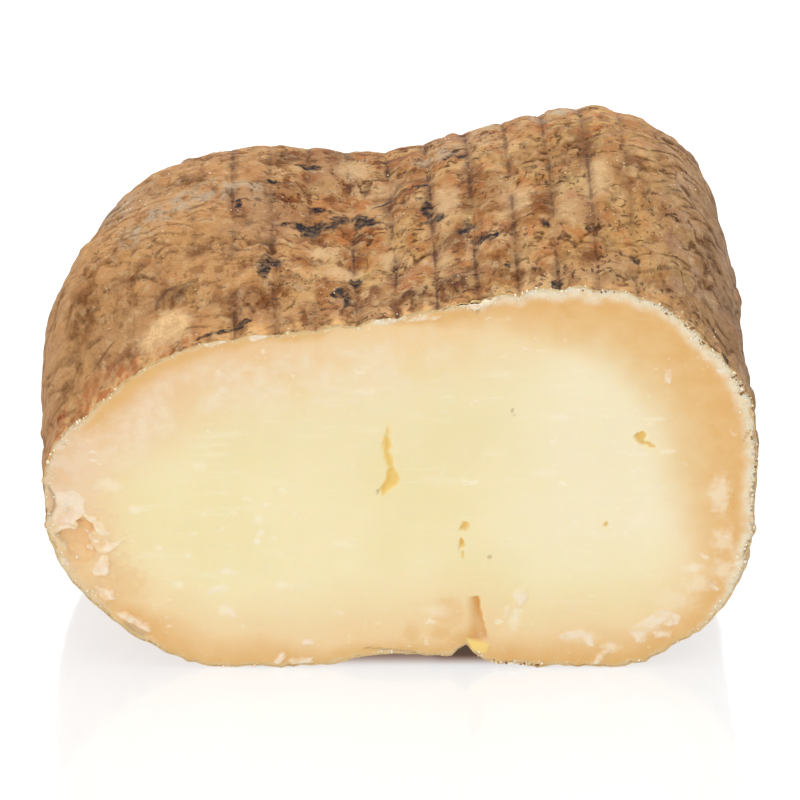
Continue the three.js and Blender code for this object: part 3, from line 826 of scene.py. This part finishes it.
# Flakes that lifted under the knife, and a white highlight painted along the top edge of the broken corner:
# how far they stand up, and their corners.
FLAKES_AND_HIGHLIGHT = [
    (0.4, [(-65.4, 37.2), (-63.3, 36.6), (-61.5, 34.6), (-60, 32.2), (-61.3, 31.8), (-62.9, 32.9),
           (-63.5, 34.2), (-64.8, 35.6)]),
    (0.4, [(-62.9, 28), (-62.2, 29.1), (-61.1, 29.5), (-60.9, 30.9), (-59.8, 30.2), (-57.6, 30.8),
           (-58.8, 29), (-61.1, 28.2)]),
    (0.5, [(-62, 27.4), (-60.3, 27.2), (-60.5, 23.9), (-61.1, 22.4), (-63.3, 22.7), (-64, 23.6),
           (-62.7, 26)]),
    (0.4, [(-62.6, 19.2), (-61.3, 19.4), (-59.5, 18.7), (-59.5, 16.8), (-61.1, 16.6), (-62.3, 17.5)]),
    (0.6, [(-59.4, 13.8), (-57.4, 13.6), (-55.3, 12.6), (-53.6, 11), (-51.9, 9.2), (-52.6, 8.8),
           (-54.5, 9.9), (-56.5, 11.3), (-58.4, 12.2)]),
    # A painted highlight along the top edge of the broken corner, raised a little like a flake.
    (0.3, [(-71.2, 32.2), (-70.1, 33.4), (-68.9, 34), (-67.3, 33.5), (-67, 34.2), (-68.9, 34.8),
           (-70.7, 34.2)]),
    (0.3, [(-65.2, 32.7), (-64, 32.6), (-63.6, 31.8), (-64.8, 31.6)]),
    (0.3, [(-65.2, 29.4), (-64, 29.2), (-63.6, 28.2), (-64.9, 28.3)]),
    (0.3, [(-63.6, 31.1), (-62, 31), (-62.1, 30.2), (-63.4, 30.2)]),
    (0.3, [(-70.2, 30.2), (-69.4, 30), (-69.3, 28.6), (-69.9, 28.8)]),
    (0.3, [(-70.3, 26.6), (-69.2, 26.3), (-68.4, 24.6), (-69.4, 25)]),
    (0.15, [(-71.2, 42.2), (-67.1, 42.6), (-65.2, 40.3), (-65.2, 37.5), (-66.8, 36.1), (-67.5, 34.4),
            (-68.9, 35), (-71.4, 34.4), (-71.8, 36), (-71, 38.6)]),
    (0.7, [(6.2, 86.2), (9, 87.2), (11.5, 87.4), (14, 87), (16.5, 87.4), (19.7, 88), (19.5, 86.9),
           (16.5, 85.7), (15.6, 85.2), (14.6, 85.6), (13, 86), (10.4, 86), (8, 85.2)]),
    (0.2, [(1.6, 82.5), (3.4, 83.6), (6.6, 83.9), (8.2, 83.5), (6.6, 82.8), (3.6, 82.6)]),
    (0.25, [(-6.6, 82.2), (-4.6, 83), (-2.4, 83.6), (0.6, 84.2), (1.4, 83.2), (-1.2, 82.2), (-4, 81.6)]),
    (0.25, [(-31.4, 78.8), (-29, 79.7), (-25.6, 80.2), (-24.8, 79.4), (-27.6, 78.6), (-30.4, 78)]),
    (0.25, [(-40.6, 77.2), (-38.4, 78.2), (-36, 78.5), (-35.2, 77.7), (-37.8, 76.8), (-39.6, 76.4)]),
    (0.15, [(49.5, 10.5), (52, 12.6), (54.5, 14.3), (56.3, 13.8), (58.6, 12.6), (58, 10.7), (56.1, 10.3),
            (54.9, 11.2), (52.6, 9.8)]),
    (0.15, [(47.7, 9.1), (51.4, 8.6), (51.2, 6.2), (49.5, 6.4)]),
    (0.15, [(52.8, 8.9), (56.7, 9.1), (56.5, 7.6), (53.4, 7.4)]),
    (0.12, [(33, 8), (37.6, 9.4), (39.8, 8.2), (40.6, 5.4), (39.4, 5.2), (38, 7.4), (34.4, 6.6)]),
    (0.4, [(40.3, 0.9), (41.6, 1.2), (43.8, 4.1), (42.6, 4.2), (41.2, 2.9)]),
    (0.4, [(24.1, 19.2), (25.4, 19.4), (26.4, 18.2), (26.3, 16.4), (25.2, 15.3), (24, 16), (23.6, 17.8)]),
    (0.3, [(-20.4, 6.9), (-18.4, 7), (-18.1, 5.9), (-20.2, 5.6)]),
    (0.3, [(-23.6, 2.2), (-18.5, 2.4), (-18.2, 1.2), (-22.8, 0.9)]),
    (0.3, [(-26.8, 1.2), (-25.2, 3.4), (-24.4, 3.6), (-24, 2.4), (-25.6, 0.9)]),
    (0.12, [(54, 71.2), (55.2, 71.4), (55.7, 69.4), (55.2, 67.9), (54.2, 68.3)]),
    (0.1, [(-40.2, 18.5), (-36.8, 19.7), (-36.6, 18.9), (-39.8, 17.9)]),
    (0.1, [(-36, 13.6), (-34.6, 14.4), (-34.2, 12.6), (-34.8, 12)]),
    (0.1, [(15, 64.2), (16.6, 64), (16.4, 63.2), (15.1, 63.3)]),
    (0.3, [(64, 20.8), (65.4, 20.4), (66.6, 19), (65.6, 18.9), (64.2, 19.9)]),
    (0.2, [(22.2, 15), (22.8, 14.6), (22.4, 12.2), (21.8, 12.6)]),
]
# Bits of tan in the face: bare rind at the nub on the left, and the hollow under the lip below it, which is
# sunk and painted tan as the lip's shadow.
TAN_RIND_AND_SHADOW = [
    (0.5, [(-74.2, 42.8), (-72.4, 42.9), (-71.5, 41), (-71.6, 38.5), (-72.3, 36.9), (-73.6, 37.6),
           (-74.4, 40)]),
    (-0.5, [(-57.8, 11.6), (-56.1, 10.7), (-54, 9.6), (-52.4, 8.3), (-53.8, 7.4), (-56.4, 9.2)]),
]
# Soft darker spots beside the fissure and in the torn corner: x, z, half width and half height.
TAN_SPOTS = [(10, 13.5, 3.4, 4.5), (2.3, 8.3, 2, 2.8), (8.8, 8.5, 3, 2.6), (-60, 20, 8, 7)]
# Curd as soft and yellow as butter at the foot of the fissure.
BUTTER = [(13.8, 7.4), (16.5, 6.4), (18.7, 5.9), (18, 3.8), (16.3, 3.8), (15.2, 4.6), (14.3, 6)]
# Hairline cracks: half width and path.
LINES = [
    (0.25, [(-72.6, 43.8), (-71.5, 41.4), (-71.5, 38.8), (-72.3, 36.6)]),
    (0.16, [(-7.4, 4.9), (-3, 4.5), (0, 4.3), (3, 3.9)]),
    (0.2, [(70.6, 54.4), (71.3, 56.2), (72.8, 57.6)]),
    (0.3, [(18.6, 26.9), (18.6, 26.6)]),
    (0.25, [(-4.7, 42.8), (-4.7, 42.3)]),
    (0.35, [(15.6, 84.9), (15.9, 84.6)]),
    (0.15, [(23, 62), (23.4, 60.4)]),
]
STREAK_DEPTH = 0.03
WAVE_DEPTH = 0.3
GRAIN_DEPTH = 0.07
CRUMB_DEPTH = 0.22
DRY_REACH = 23
# The chalky paste by the left rim and the torn lower left corner: x, z, half width and half height.
LEFT_CHALK = (-72, 47, 10, 19)
TORN = (-66, 26, 12, 17)
# Soft pale smears of drier curd: x, z, half length and half height. The small ones are the whitest.
SMEARS = [
    (51, 43.3, 5, 0.9), (49.5, 35.5, 3, 2.2), (52.3, 59.6, 2.6, 0.5), (49.7, 51.3, 2.5, 0.6),
    (55.2, 52, 2.2, 0.5), (66, 42, 2.2, 5), (67, 31, 2.5, 3), (-31.6, 40.7, 1.2, 0.6),
    (-27.6, 39.3, 0.8, 0.5), (-29.2, 35.6, 1.3, 1), (-29.7, 30.4, 0.9, 0.7), (-26, 31.3, 0.8, 0.7),
    (-49.9, 29.1, 1, 0.6), (-41.5, 48.5, 1.6, 1.2), (-54.3, 38.3, 2.4, 1), (-37.5, 19.4, 2.5, 1.1),
    (-46.2, 20, 1.4, 1), (-36.5, 13.8, 1.8, 1.4), (-35.9, 23.4, 1.5, 0.9), (-24.6, 20, 2, 0.9),
    (24, 12, 1.2, 2.6), (8, 14, 3, 1.6), (-60, 44, 3, 1.6), (30, 47, 3, 1), (33, 60, 2.4, 0.8),
    (-12, 30, 3, 0.8), (20, 70, 4, 0.8), (-8, 66, 4, 0.7), (61, 24, 2, 1.4), (57, 16.5, 4.5, 2.6),
    (62, 20.5, 3, 2.4), (51.5, 10, 3.4, 1.8), (38, 7.5, 4.5, 1.6), (67, 24, 2.4, 2.4), (44, 5, 2, 1.4),
]


def to_line(x, z, start, end):
    """Distance in the plane of the cut from a straight line between two places."""
    run_x = end[0] - start[0]
    run_z = end[1] - start[1]
    share = np.clip(((x - start[0]) * run_x + (z - start[1]) * run_z) / (run_x ** 2 + run_z ** 2), 0, 1)
    return np.hypot(x - start[0] - share * run_x, z - start[1] - share * run_z)


def inside_by(x, z, corners):
    """How far a point lies inside the shape with these corners, or less than 0 for how far outside it."""
    nearest = np.full(len(x), 1e9)
    within = np.zeros(len(x), bool)
    for start, end in zip(corners, corners[1:] + corners[:1]):
        nearest = np.minimum(nearest, to_line(x, z, start, end))
        if start[1] != end[1]:
            crossing = start[0] + (end[0] - start[0]) * (z - start[1]) / (end[1] - start[1])
            within ^= ((start[1] > z) != (end[1] > z)) & (x < crossing)
    return np.where(within, nearest, -nearest)


def to_ring(x, z, ring):
    """Distance in the plane of the cut from the nearest point of a ring."""
    nearest = np.full(len(x), 1e9)
    for ring_x, _, ring_z in ring:
        nearest = np.minimum(nearest, (x - ring_x) ** 2 + (z - ring_z) ** 2)
    return np.sqrt(nearest)


def from_middle(x, z, middle_x, middle_z, half_width, half_height):
    """0 in the middle of an ellipse in the plane of the cut and 1 on its edge."""
    return np.hypot((x - middle_x) / half_width, (z - middle_z) / half_height)


columns = np.sin(np.linspace(-np.pi / 2, np.pi / 2, FACE_COLUMNS + 1))
outline = ring + inward * FACE_INSET
under_ring = np.concatenate([outline[:1], outline[:ACROSS:-1], outline[ACROSS:ACROSS + 1]])


def at_columns(lines, points):
    """The ring's x and z at the face's columns."""
    return np.stack([np.interp(columns, lines, points[:, i]) for i in (0, 2)], axis=-1)


high = shrunk(wheel_points(columns, np.zeros(1), top_height), BORDER)[:, 0, ::2]
low = shrunk(wheel_points(columns, np.zeros(1), under_height), BORDER)[:, 0, ::2]
flat = low[:, None] + (high - low)[:, None] * np.linspace(0, 1, FACE_ROWS + 1)[None, :, None]
# Each end column is one point.
inside = flat[1:-1].reshape(-1, 2)
face_numbers = np.empty((FACE_COLUMNS + 1, FACE_ROWS + 1), int)
face_numbers[1:-1] = np.arange(len(inside)).reshape(FACE_COLUMNS - 1, FACE_ROWS + 1)
face_numbers[0] = len(inside)
face_numbers[-1] = len(inside) + 1
middle = np.concatenate([inside, flat[:1, 0], flat[-1:, 0]])
middle_ring = np.concatenate([face_numbers[:, -1], face_numbers[-2:0:-1, 0]])
outer = np.concatenate([at_columns(across_lines, outline[:ACROSS + 1]),
                        at_columns(across_lines[::2], under_ring)[-2:0:-1]])
border_share = np.linspace(0, 1, BORDER_ROWS + 1)[None, 1:, None]
border = middle[middle_ring][:, None] * (1 - border_share) + outer[:, None] * border_share
border_numbers = numbered(border, len(middle))
flat = np.concatenate([middle, border.reshape(-1, 2)])

x, z = flat.T
flat_points = np.stack([x, np.zeros(len(x)), z], axis=1)
edge = to_ring(x, z, ring)
ragged = 0.3 * rough(flat_points, 1.7, 111, 4)


def filled(corners, raggedness, spill, soft):
    """1 inside the shape with these corners and 0 outside it. The step lies this far outside the ragged
    edge and is this wide."""
    return smooth((inside_by(x, z, corners) + raggedness * ragged + spill) / soft)


dent = CRACK_DEPTH * filled(CRACK, 0.5, 0, 1.1)
deep = filled(CRACK, 0.5, 0.1, 0.4)
fissure = filled(FISSURE, 0.3, 0.1, 0.5)
dent += FISSURE_DEPTH * fissure * mix(0.05, 1, smooth((x - FISSURE_LEFT) / 3))
# The fissure is painted orange as a glow of light through the paste, most at its top and its right, and amber
# on its right wall.
fissure_glow = fissure * mix(0.3, 1, smooth((z - 8) / 8)) * mix(0.15, 1, smooth((x - FISSURE_LEFT) / 2.6))
amber_glow = filled(FISSURE_WALL, 0, 0.2, 0.5) * fissure_glow
for *eye, eye_depth in EYES:
    off = from_middle(x, z, *eye) + 1.4 * ragged
    dent += eye_depth * np.sqrt(np.clip(1 - off ** 2, 0, 1))
    deep = np.maximum(deep, smooth((1.15 - off) * 3))
# The flakes, and the painted highlight on the broken corner.
flake_and_highlight = np.zeros(len(x))
for stand, corners in FLAKES_AND_HIGHLIGHT:
    raised_patch = filled(corners, 1, 0.2, 0.4)
    dent -= stand * raised_patch
    flake_and_highlight = np.maximum(flake_and_highlight, raised_patch)
# Tan: the nub's bare rind, and the shadow under the lip painted tan.
tan = np.zeros(len(x))
for stand, corners in TAN_RIND_AND_SHADOW:
    tan_patch = filled(corners, 0.5, 0.2, 0.5)
    dent -= stand * tan_patch
    tan = np.maximum(tan, tan_patch)
butter = filled(BUTTER, 0.4, 0.2, 0.4)
dent -= 0.3 * butter
line = np.zeros(len(x))
for half_width, path in LINES:
    gap = np.min([to_line(x, z, start, end) for start, end in zip(path, path[1:])], axis=0)
    line = np.maximum(line, 1 - smooth((gap + 0.2 * ragged) / half_width - 0.6))
dent += 0.2 * line
smear = np.zeros(len(x))
for place in SMEARS:
    off = from_middle(x, z, *place) + 1.6 * ragged
    smear = np.maximum(smear, (1 - smooth(off - 0.3)) * min(1, 2 / place[2]))
# The drag of the knife left the paste by the left rim chalky.
left_chalk = (1 - smooth(from_middle(x, z, *LEFT_CHALK) + ragged - 0.35)) * smooth((z - 29) / 6)
break_run = np.clip(1 - (BREAK_TOP - z) / BREAK_LENGTH, 0, 1)
dent += BREAK_DEPTH * filled(BREAK, 0.5, 0.1, 0.5) * break_run
broken = filled(BREAK, 0.5, 0.2, 0.7) * mix(0.3, 1, smooth(2 * break_run))
torn = 1 - smooth((from_middle(x, z, *TORN) + 0.8 * ragged - 0.5) / 0.5)
dent += torn * 0.45 * rough(flat_points, 4, 131, 4)
waves = WAVE_DEPTH * grain(flat_points, 24, 141) * smooth(edge / 4)
dent += waves + GRAIN_DEPTH * rough(flat_points, 4, 151, 3)
dent += STREAK_DEPTH * rough(flat_points * [0.06, 1, 1], 1.6, 161, 3)
chalky_side = smooth((x - 2) / 30) * smooth((z - 4) / 20)
crumb_reach = 0.9 + 1.7 * chalky_side + 1.4 * smooth((-55 - x) / 12)
crumbly = 1 - smooth((edge - 0.45 * crumb_reach + 0.9 * rough(flat_points, 5, 171, 3)) / crumb_reach)
chalky = crumbly * mix(0.3, 1, chalky_side)
dent -= CRUMB_DEPTH * np.maximum(crumbly, 0.5 * torn) * rough(flat_points, 1.3, 181, 2)
dent += 0.05 * smooth((1.6 - edge) / 1.6)
face = np.stack([x, FRONT + dent, z], axis=1)

body, body_numbers, last_top, last_under = inner_sheet(columns, columns, PASTE_SHRINK, len(face))
paste_rows = closed_rows(middle_ring[:, None], border_numbers, body_numbers)
paste_points = np.concatenate([face, body.reshape(-1, 3)])
paste_faces = np.concatenate([
    cells_of(face_numbers),
    cells_of(paste_rows),
    cells_of(np.stack([last_under, last_top], axis=1), turned=True),
])
paste_faces = paste_faces[(paste_faces != np.roll(paste_faces, 1, axis=1)).all(axis=1)]

# How far the darker, drier paste reaches in from the rind: most on the upper right.
rind_gap = edge + 1.6 * rough(flat_points, 16, 191, 3)
dry = 1 - smooth(rind_gap / DRY_REACH)
tan_reach = 2 + 18 * smooth(x / 50) * smooth((z - 8) / 40) + 4 * smooth((-25 - x) / 30)
tan_reach += ((4 - 2 * smooth((25 - np.abs(x)) / 12)) * smooth((22 - z) / 14)
              + 3 * smooth((x - 22) / 22) * smooth((30 - z) / 18))
tanned = 1 - smooth((rind_gap / tan_reach - 0.15) / 1.1)
for place in TAN_SPOTS:
    off = from_middle(x, z, *place) + 0.8 * ragged
    tanned = np.maximum(tanned, 0.55 * (1 - smooth(off - 0.3)))

paste_marks = {
    "edge": edge, "dry": dry, "tanned": tanned, "deep": deep, "amber_glow": amber_glow, "fissure": fissure_glow,
    "broken": broken, "torn": torn, "flake_and_highlight": flake_and_highlight, "smear": smear, "left_chalk": left_chalk, "tan": tan,
    "butter": butter, "line": line, "crumbly": crumbly, "chalky": chalky,
}
# They are 0 on the hidden body.
no_mark = np.zeros(len(paste_points) - len(face))
paste_marks = {mark: np.concatenate([values, no_mark]) for mark, values in paste_marks.items()}

# Ripened curd cut with a knife: a little waxy, so light goes some way in and softens the cracks; its shine is
# broad and weak, and the crumbs at the rim are dull.
paste_material, tree, place, across_mm, _, height_mm = new_material("ripened_curd_cut_with_a_knife")
left_high = mask(tree, (across_mm, 5, -60), (height_mm, 25, 60))
right_middle = mask(tree, (across_mm, 12, 38), ("tanned", 0.6, 0), (height_mm, 12, 38))
streaks = blotch(tree, place, 2.2, 0.56, 0.72, 3, (7, 1, 1))
# Dry curd that the knife dragged out of the upper rim lies over the paste like frost.
frost = mask(tree, ("edge", 1.5, 7), ("edge", 27, 11), (height_mm, 34, 58), (across_mm, 34, -6),
             blotch(tree, place, 8, 0.36, 0.58),
             ranged(tree, blotch(tree, place, 1.9, 0.36, 0.64, 3, (1.3, 1, 1)), 0.5))
# Flecks of casein, in drifts, and finer ones where the cut dragged dry paste from the rind.
drift = blotch(tree, place, 14, 0.42, 0.6, 2)
flecks = mask(tree, blotch(tree, place, 2.4, 0.62, 0.72, 3, (1.6, 1, 1)), drift)
fine_flecks = mask(tree, blotch(tree, place, 0.8, 0.67, 0.74, 1), ("edge", 16, 2), drift)
# Brown rind shows between the crumbs at the right.
bared = mask(tree, (across_mm, 66, 71), (height_mm, 18, 30), (height_mm, 58, 50), ("edge", 1.5, 0.6),
             blotch(tree, place, 1.2, 0.44, 0.56))
paste_colour = painted(tree, "F4E5B8", [
    # The ground, and the drier paste towards the rind.
    ("EFDFAA", blotch(tree, place, 26, 0.4, 0.65), 0.6),
    ("E8D7A8", (height_mm, 38, 60), 0.35),
    ("F6EACA", right_middle, 0.7),
    ("F7EDCE", streaks, 0.32),
    ("F0CE9A", "dry", 0.95),
    ("E8BF90", left_high, "dry", 0.95),
    ("E4B470", "tanned", ranged(tree, blotch(tree, place, 5, 0.35, 0.65), 0.75)),
    # What the knife dragged over it, and the torn corner.
    ("F2E4CB", frost, 0.55),
    ("ECD2B4", "left_chalk", ranged(tree, blotch(tree, place, 3, 0.35, 0.6), 0.5), 0.8),
    ("ECCB9E", "torn", 0.45),
    ("F9EDD4", "smear", 0.6),
    ("EFC48C", "broken", ranged(tree, blotch(tree, place, 2, 0.35, 0.6), 0.6), 0.9),
    ("F3E1C4", "chalky", ranged(tree, blotch(tree, place, 2.2, 0.35, 0.6, 3), 0.6)),
    ("C08C54", ("edge", 0.9, 0.3), blotch(tree, place, 5, 0.5, 0.62), blotch(tree, place, 1, 0.42, 0.55),
     0.7),
    # The crack, the eyes, the fissure and its painted glow, the bits of rind, the lip's painted shadow, the
    # flakes, the highlight painted on the broken corner, and the flecks.
    ("F2CC6C", "deep", 0.85),
    ("E5AF68", "fissure", 0.85),
    ("E6A23C", "amber_glow", 0.8),
    ("9C7656", bared, 0.75),
    ("DDB88E", "tan", 0.85),
    ("F4E3CB", "flake_and_highlight", ranged(tree, blotch(tree, place, 1.8, 0.35, 0.6), 0.35), 0.85),
    ("FAD880", "butter", 0.9),
    ("B08C60", "line", 0.55),
    ("FBF3E0", flecks, 0.45),
    ("FBF3E0", fine_flecks, 0.2),
])
fine = joined(tree, "ADD", blotch(tree, place, 0.7, 0.2, 0.8, 3),
              mask(tree, blotch(tree, place, 1.1, 0.3, 0.7, 2, (10, 1, 1)), 0.8),
              mask(tree, blotch(tree, place, 0.8, 0.3, 0.7, 3), "crumbly", 3))
bump = add_node(tree, "ShaderNodeBump", {},
                {"Strength": 0.4, "Distance": 0.08 * MM, "Height": fine}, "Normal")
paste_shader = add_node(tree, "ShaderNodeBsdfPrincipled", {}, {
    "Base Color": paste_colour, "Roughness": 0.5, "Specular IOR Level": 0.35, "Normal": bump,
    "Subsurface Weight": 0.35, "Subsurface Radius": (1.0, 0.6, 0.25), "Subsurface Scale": 2 * MM})
add_node(tree, "ShaderNodeOutputMaterial", {}, {"Surface": paste_shader})
new_piece("paste", paste_points, paste_faces, paste_material, "paste", paste_marks)

# ---------------------------------------------------------------------------------------------- the crumbs
# Dry bits that the knife tore loose along the rind: white ones of paste, brown ones of rind, and crystals of
# whey salt that dried on the rind. Each is an angular lump, half sunk in what it lies on.
PASTE_CRUMBS = 560
RIND_CRUMBS = 160
CRYSTALS = 320


def lumps(centres, sizes, seed):
    """Balls of 42 points, each point moved in or out at random, squashed and turned at random. Gives the
    points and faces of all."""
    rng = np.random.default_rng(seed)
    ball = bmesh.new()
    bmesh.ops.create_icosphere(ball, subdivisions=2, radius=1)
    ball.verts.index_update()
    sphere = np.array([corner.co[:] for corner in ball.verts])
    sides = np.array([[corner.index for corner in side.verts] for side in ball.faces])
    ball.free()
    shape = sphere * rng.uniform(0.7, 1.1, (len(centres), len(sphere), 1))
    shape = shape * rng.uniform(0.6, 1.4, (len(centres), 1, 3))
    turn = np.linalg.qr(rng.normal(size=(len(centres), 3, 3)))[0]
    turn *= np.sign(np.linalg.det(turn))[:, None, None]
    points = np.einsum("nij,npj->npi", turn, shape) * sizes[:, None, None] + centres[:, None]
    faces = sides + len(sphere) * np.arange(len(centres))[:, None, None]
    return points.reshape(-1, 3), faces.reshape(-1, 3)


def plain_material(name, colour, dark, roughness, shine):
    """Matt, slightly waxy lumps whose colour wanders from one to the other."""
    material, tree, place = new_material(name)[:3]
    tone = painted(tree, colour, [(dark, blotch(tree, place, 1.5, 0.4, 0.6, 1))])
    shader = add_node(tree, "ShaderNodeBsdfPrincipled", {}, {
        "Base Color": tone, "Roughness": roughness, "Specular IOR Level": shine,
        "Subsurface Weight": 0.3, "Subsurface Radius": (1.0, 0.6, 0.3), "Subsurface Scale": 0.5 * MM})
    add_node(tree, "ShaderNodeOutputMaterial", {}, {"Surface": shader})
    return material


def strew(name, slot, material, points, weight, count, sizes, seed):
    """Lumps on this many of the points, drawn at random by weight. Their radii in millimetres run from the
    first size to the second, and most are small."""
    at = np.random.default_rng(seed).choice(len(weight), count, replace=False, p=weight / weight.sum())
    radius = mix(*sizes, np.random.default_rng(seed + 1).random(count) ** 2)
    new_piece(name, *lumps(points[at], radius, seed + 2), material, slot, {})


beside_notch = smooth((x - 14) / 2) * smooth((31 - x) / 3) * smooth((2.2 - z) / 1)
paste_weight = chalky * smooth((2.6 - edge) / 2) + 0.1 * torn * smooth((5 - edge) / 3) + 5 * beside_notch
paste_weight += 0.03 * smooth((1 - edge) / 0.8)
# Dried white paste, dull, with light going a little way in.
crumb_material = plain_material("dried_paste_crumbs", "F7EBD2", "EED6AE", 0.6, 0.2)
strew("paste_crumbs", "paste", crumb_material, face, paste_weight, PASTE_CRUMBS, (0.1, 0.36), 201)

# Broken rind, brown and matt, in clusters along the upper right of the cut and beside the notch.
rind_weight = smooth((x - 28) / 20) * smooth((z - 40) / 20) * smooth((1.5 - edge) / 1.3)
rind_weight *= smooth(0.3 + 1.6 * rough(flat_points, 7, 221, 2))
rind_weight += 3 * beside_notch * smooth((1 - edge) / 1)
rind_crumb_material = plain_material("broken_rind_crumbs", "86603C", "A87C4C", 0.7, 0.1)
strew("rind_crumbs", "rind", rind_crumb_material, face, rind_weight, RIND_CRUMBS, (0.08, 0.3), 204)

# Whey salt, pale and a little glassy, which gives the rind its points of light.
salt_weight = smooth(rough(skin, 9, 211, 2) * 2 - 0.1) * level * (skin_normal[:, 2] > 0)
salt_weight = (salt_weight + 0.2 * smooth((3 - depth) / 2)) * (skin[:, 2] > LEFT_WAIST)
crystal_material = plain_material("dried_whey_salt", "E8D8BC", "D0B890", 0.35, 0.4)
strew("crystals", "rind", crystal_material, skin, salt_weight, CRYSTALS, (0.07, 0.2), 212)

# ------------------------------------------------------------------------------------------------ the stage
# A light table of glossy white plastic under soft lamps, which stands for a small studio. Where the wheel
# rests and in its notch the table glows far less and is tinted purple-brown: a painted contact shadow.
FLOOR = 6.0
floor_material, tree, place, across_mm, depth_mm, _ = new_material("glossy_plastic_lit_from_below")
from_notch = add_node(tree, "ShaderNodeMath", {"operation": "ABSOLUTE"},
                      {0: joined(tree, "SUBTRACT", across_mm, NOTCH_X)})
# A contact shadow painted on the table where the wheel rests and in its notch.
painted_contact_shadow = mask(tree, (across_mm, -34, -14), (across_mm, 26, 20), (depth_mm, 0.5, 5.5), (depth_mm, 75, 55),
               ranged(tree, (from_notch, 8, 4), 0.8))
floor_shader = add_node(tree, "ShaderNodeBsdfPrincipled", {}, {
    "Base Color": painted(tree, "808080", [("6E4838", painted_contact_shadow)]), "IOR": 1.8, "Roughness": 0.1,
    "Emission Color": painted(tree, "FFFFFF", [("FFD8C0", painted_contact_shadow)]),
    "Emission Strength": ranged(tree, painted_contact_shadow, 0.7, 0.08)})
add_node(tree, "ShaderNodeOutputMaterial", {}, {"Surface": floor_shader})
floor_mesh = bpy.data.meshes.new("floor")
floor_mesh.from_pydata([(-FLOOR, -FLOOR, 0), (FLOOR, -FLOOR, 0), (FLOOR, FLOOR, 0), (-FLOOR, FLOOR, 0)],
                       [], [(0, 1, 2, 3)])
floor_mesh.materials.append(floor_material)
floor = bpy.data.objects.new("floor", floor_mesh)
bpy.context.scene.collection.objects.link(floor)

world = bpy.data.worlds.new("white_room")
bpy.context.scene.world = world
world.use_nodes = True
# The room's back wall is brighter than its front, and it is what the table mirrors.
tree = world.node_tree
toward = add_node(tree, "ShaderNodeTexCoord", {}, {}, "Generated")
toward = add_node(tree, "ShaderNodeSeparateXYZ", {}, {0: toward}, "Y")
glow = add_node(tree, "ShaderNodeMapRange", {},
                {"Value": toward, "From Min": -0.2, "From Max": 0.8, "To Min": 0.65, "To Max": 1.78})
tree.links.new(glow, tree.nodes["Background"].inputs["Strength"])
tree.nodes["Background"].inputs["Color"].default_value = linear("FFFFFF")

CAMERA_DISTANCE = 1.4
CAMERA_LENS = 300.7
CAMERA_TILT = np.radians(29)
CAMERA_TARGET = (0, -0.0279, 0.0491)


def lamp(name, place, target, size, power):
    """A square soft lamp aimed at a point."""
    data = bpy.data.lights.new(name, "AREA")
    data.size = size
    data.energy = power
    light = bpy.data.objects.new(name, data)
    light.location = place
    aim = np.array(target) - np.array(place)
    light.rotation_euler = (np.arctan2(np.hypot(aim[0], aim[1]), -aim[2]), 0, np.arctan2(-aim[0], aim[1]))
    bpy.context.scene.collection.objects.link(light)


lamp("overhead_lamp", (0.1, -0.1, 1.1), (0, 0, 0.05), 0.9, 5)
lamp("front_lamp", (-0.7, -1.1, 0.7), (0, -0.05, 0.04), 0.7, 4)

camera_data = bpy.data.cameras.new("camera")
camera_data.lens = CAMERA_LENS
camera = bpy.data.objects.new("camera", camera_data)
camera.location = (0, CAMERA_TARGET[1] - CAMERA_DISTANCE * np.cos(CAMERA_TILT),
                   CAMERA_TARGET[2] + CAMERA_DISTANCE * np.sin(CAMERA_TILT))
camera.rotation_euler = (np.pi / 2 - CAMERA_TILT, 0, 0)
bpy.context.scene.collection.objects.link(camera)
bpy.context.scene.camera = camera
bpy.context.scene.view_settings.view_transform = "Standard"
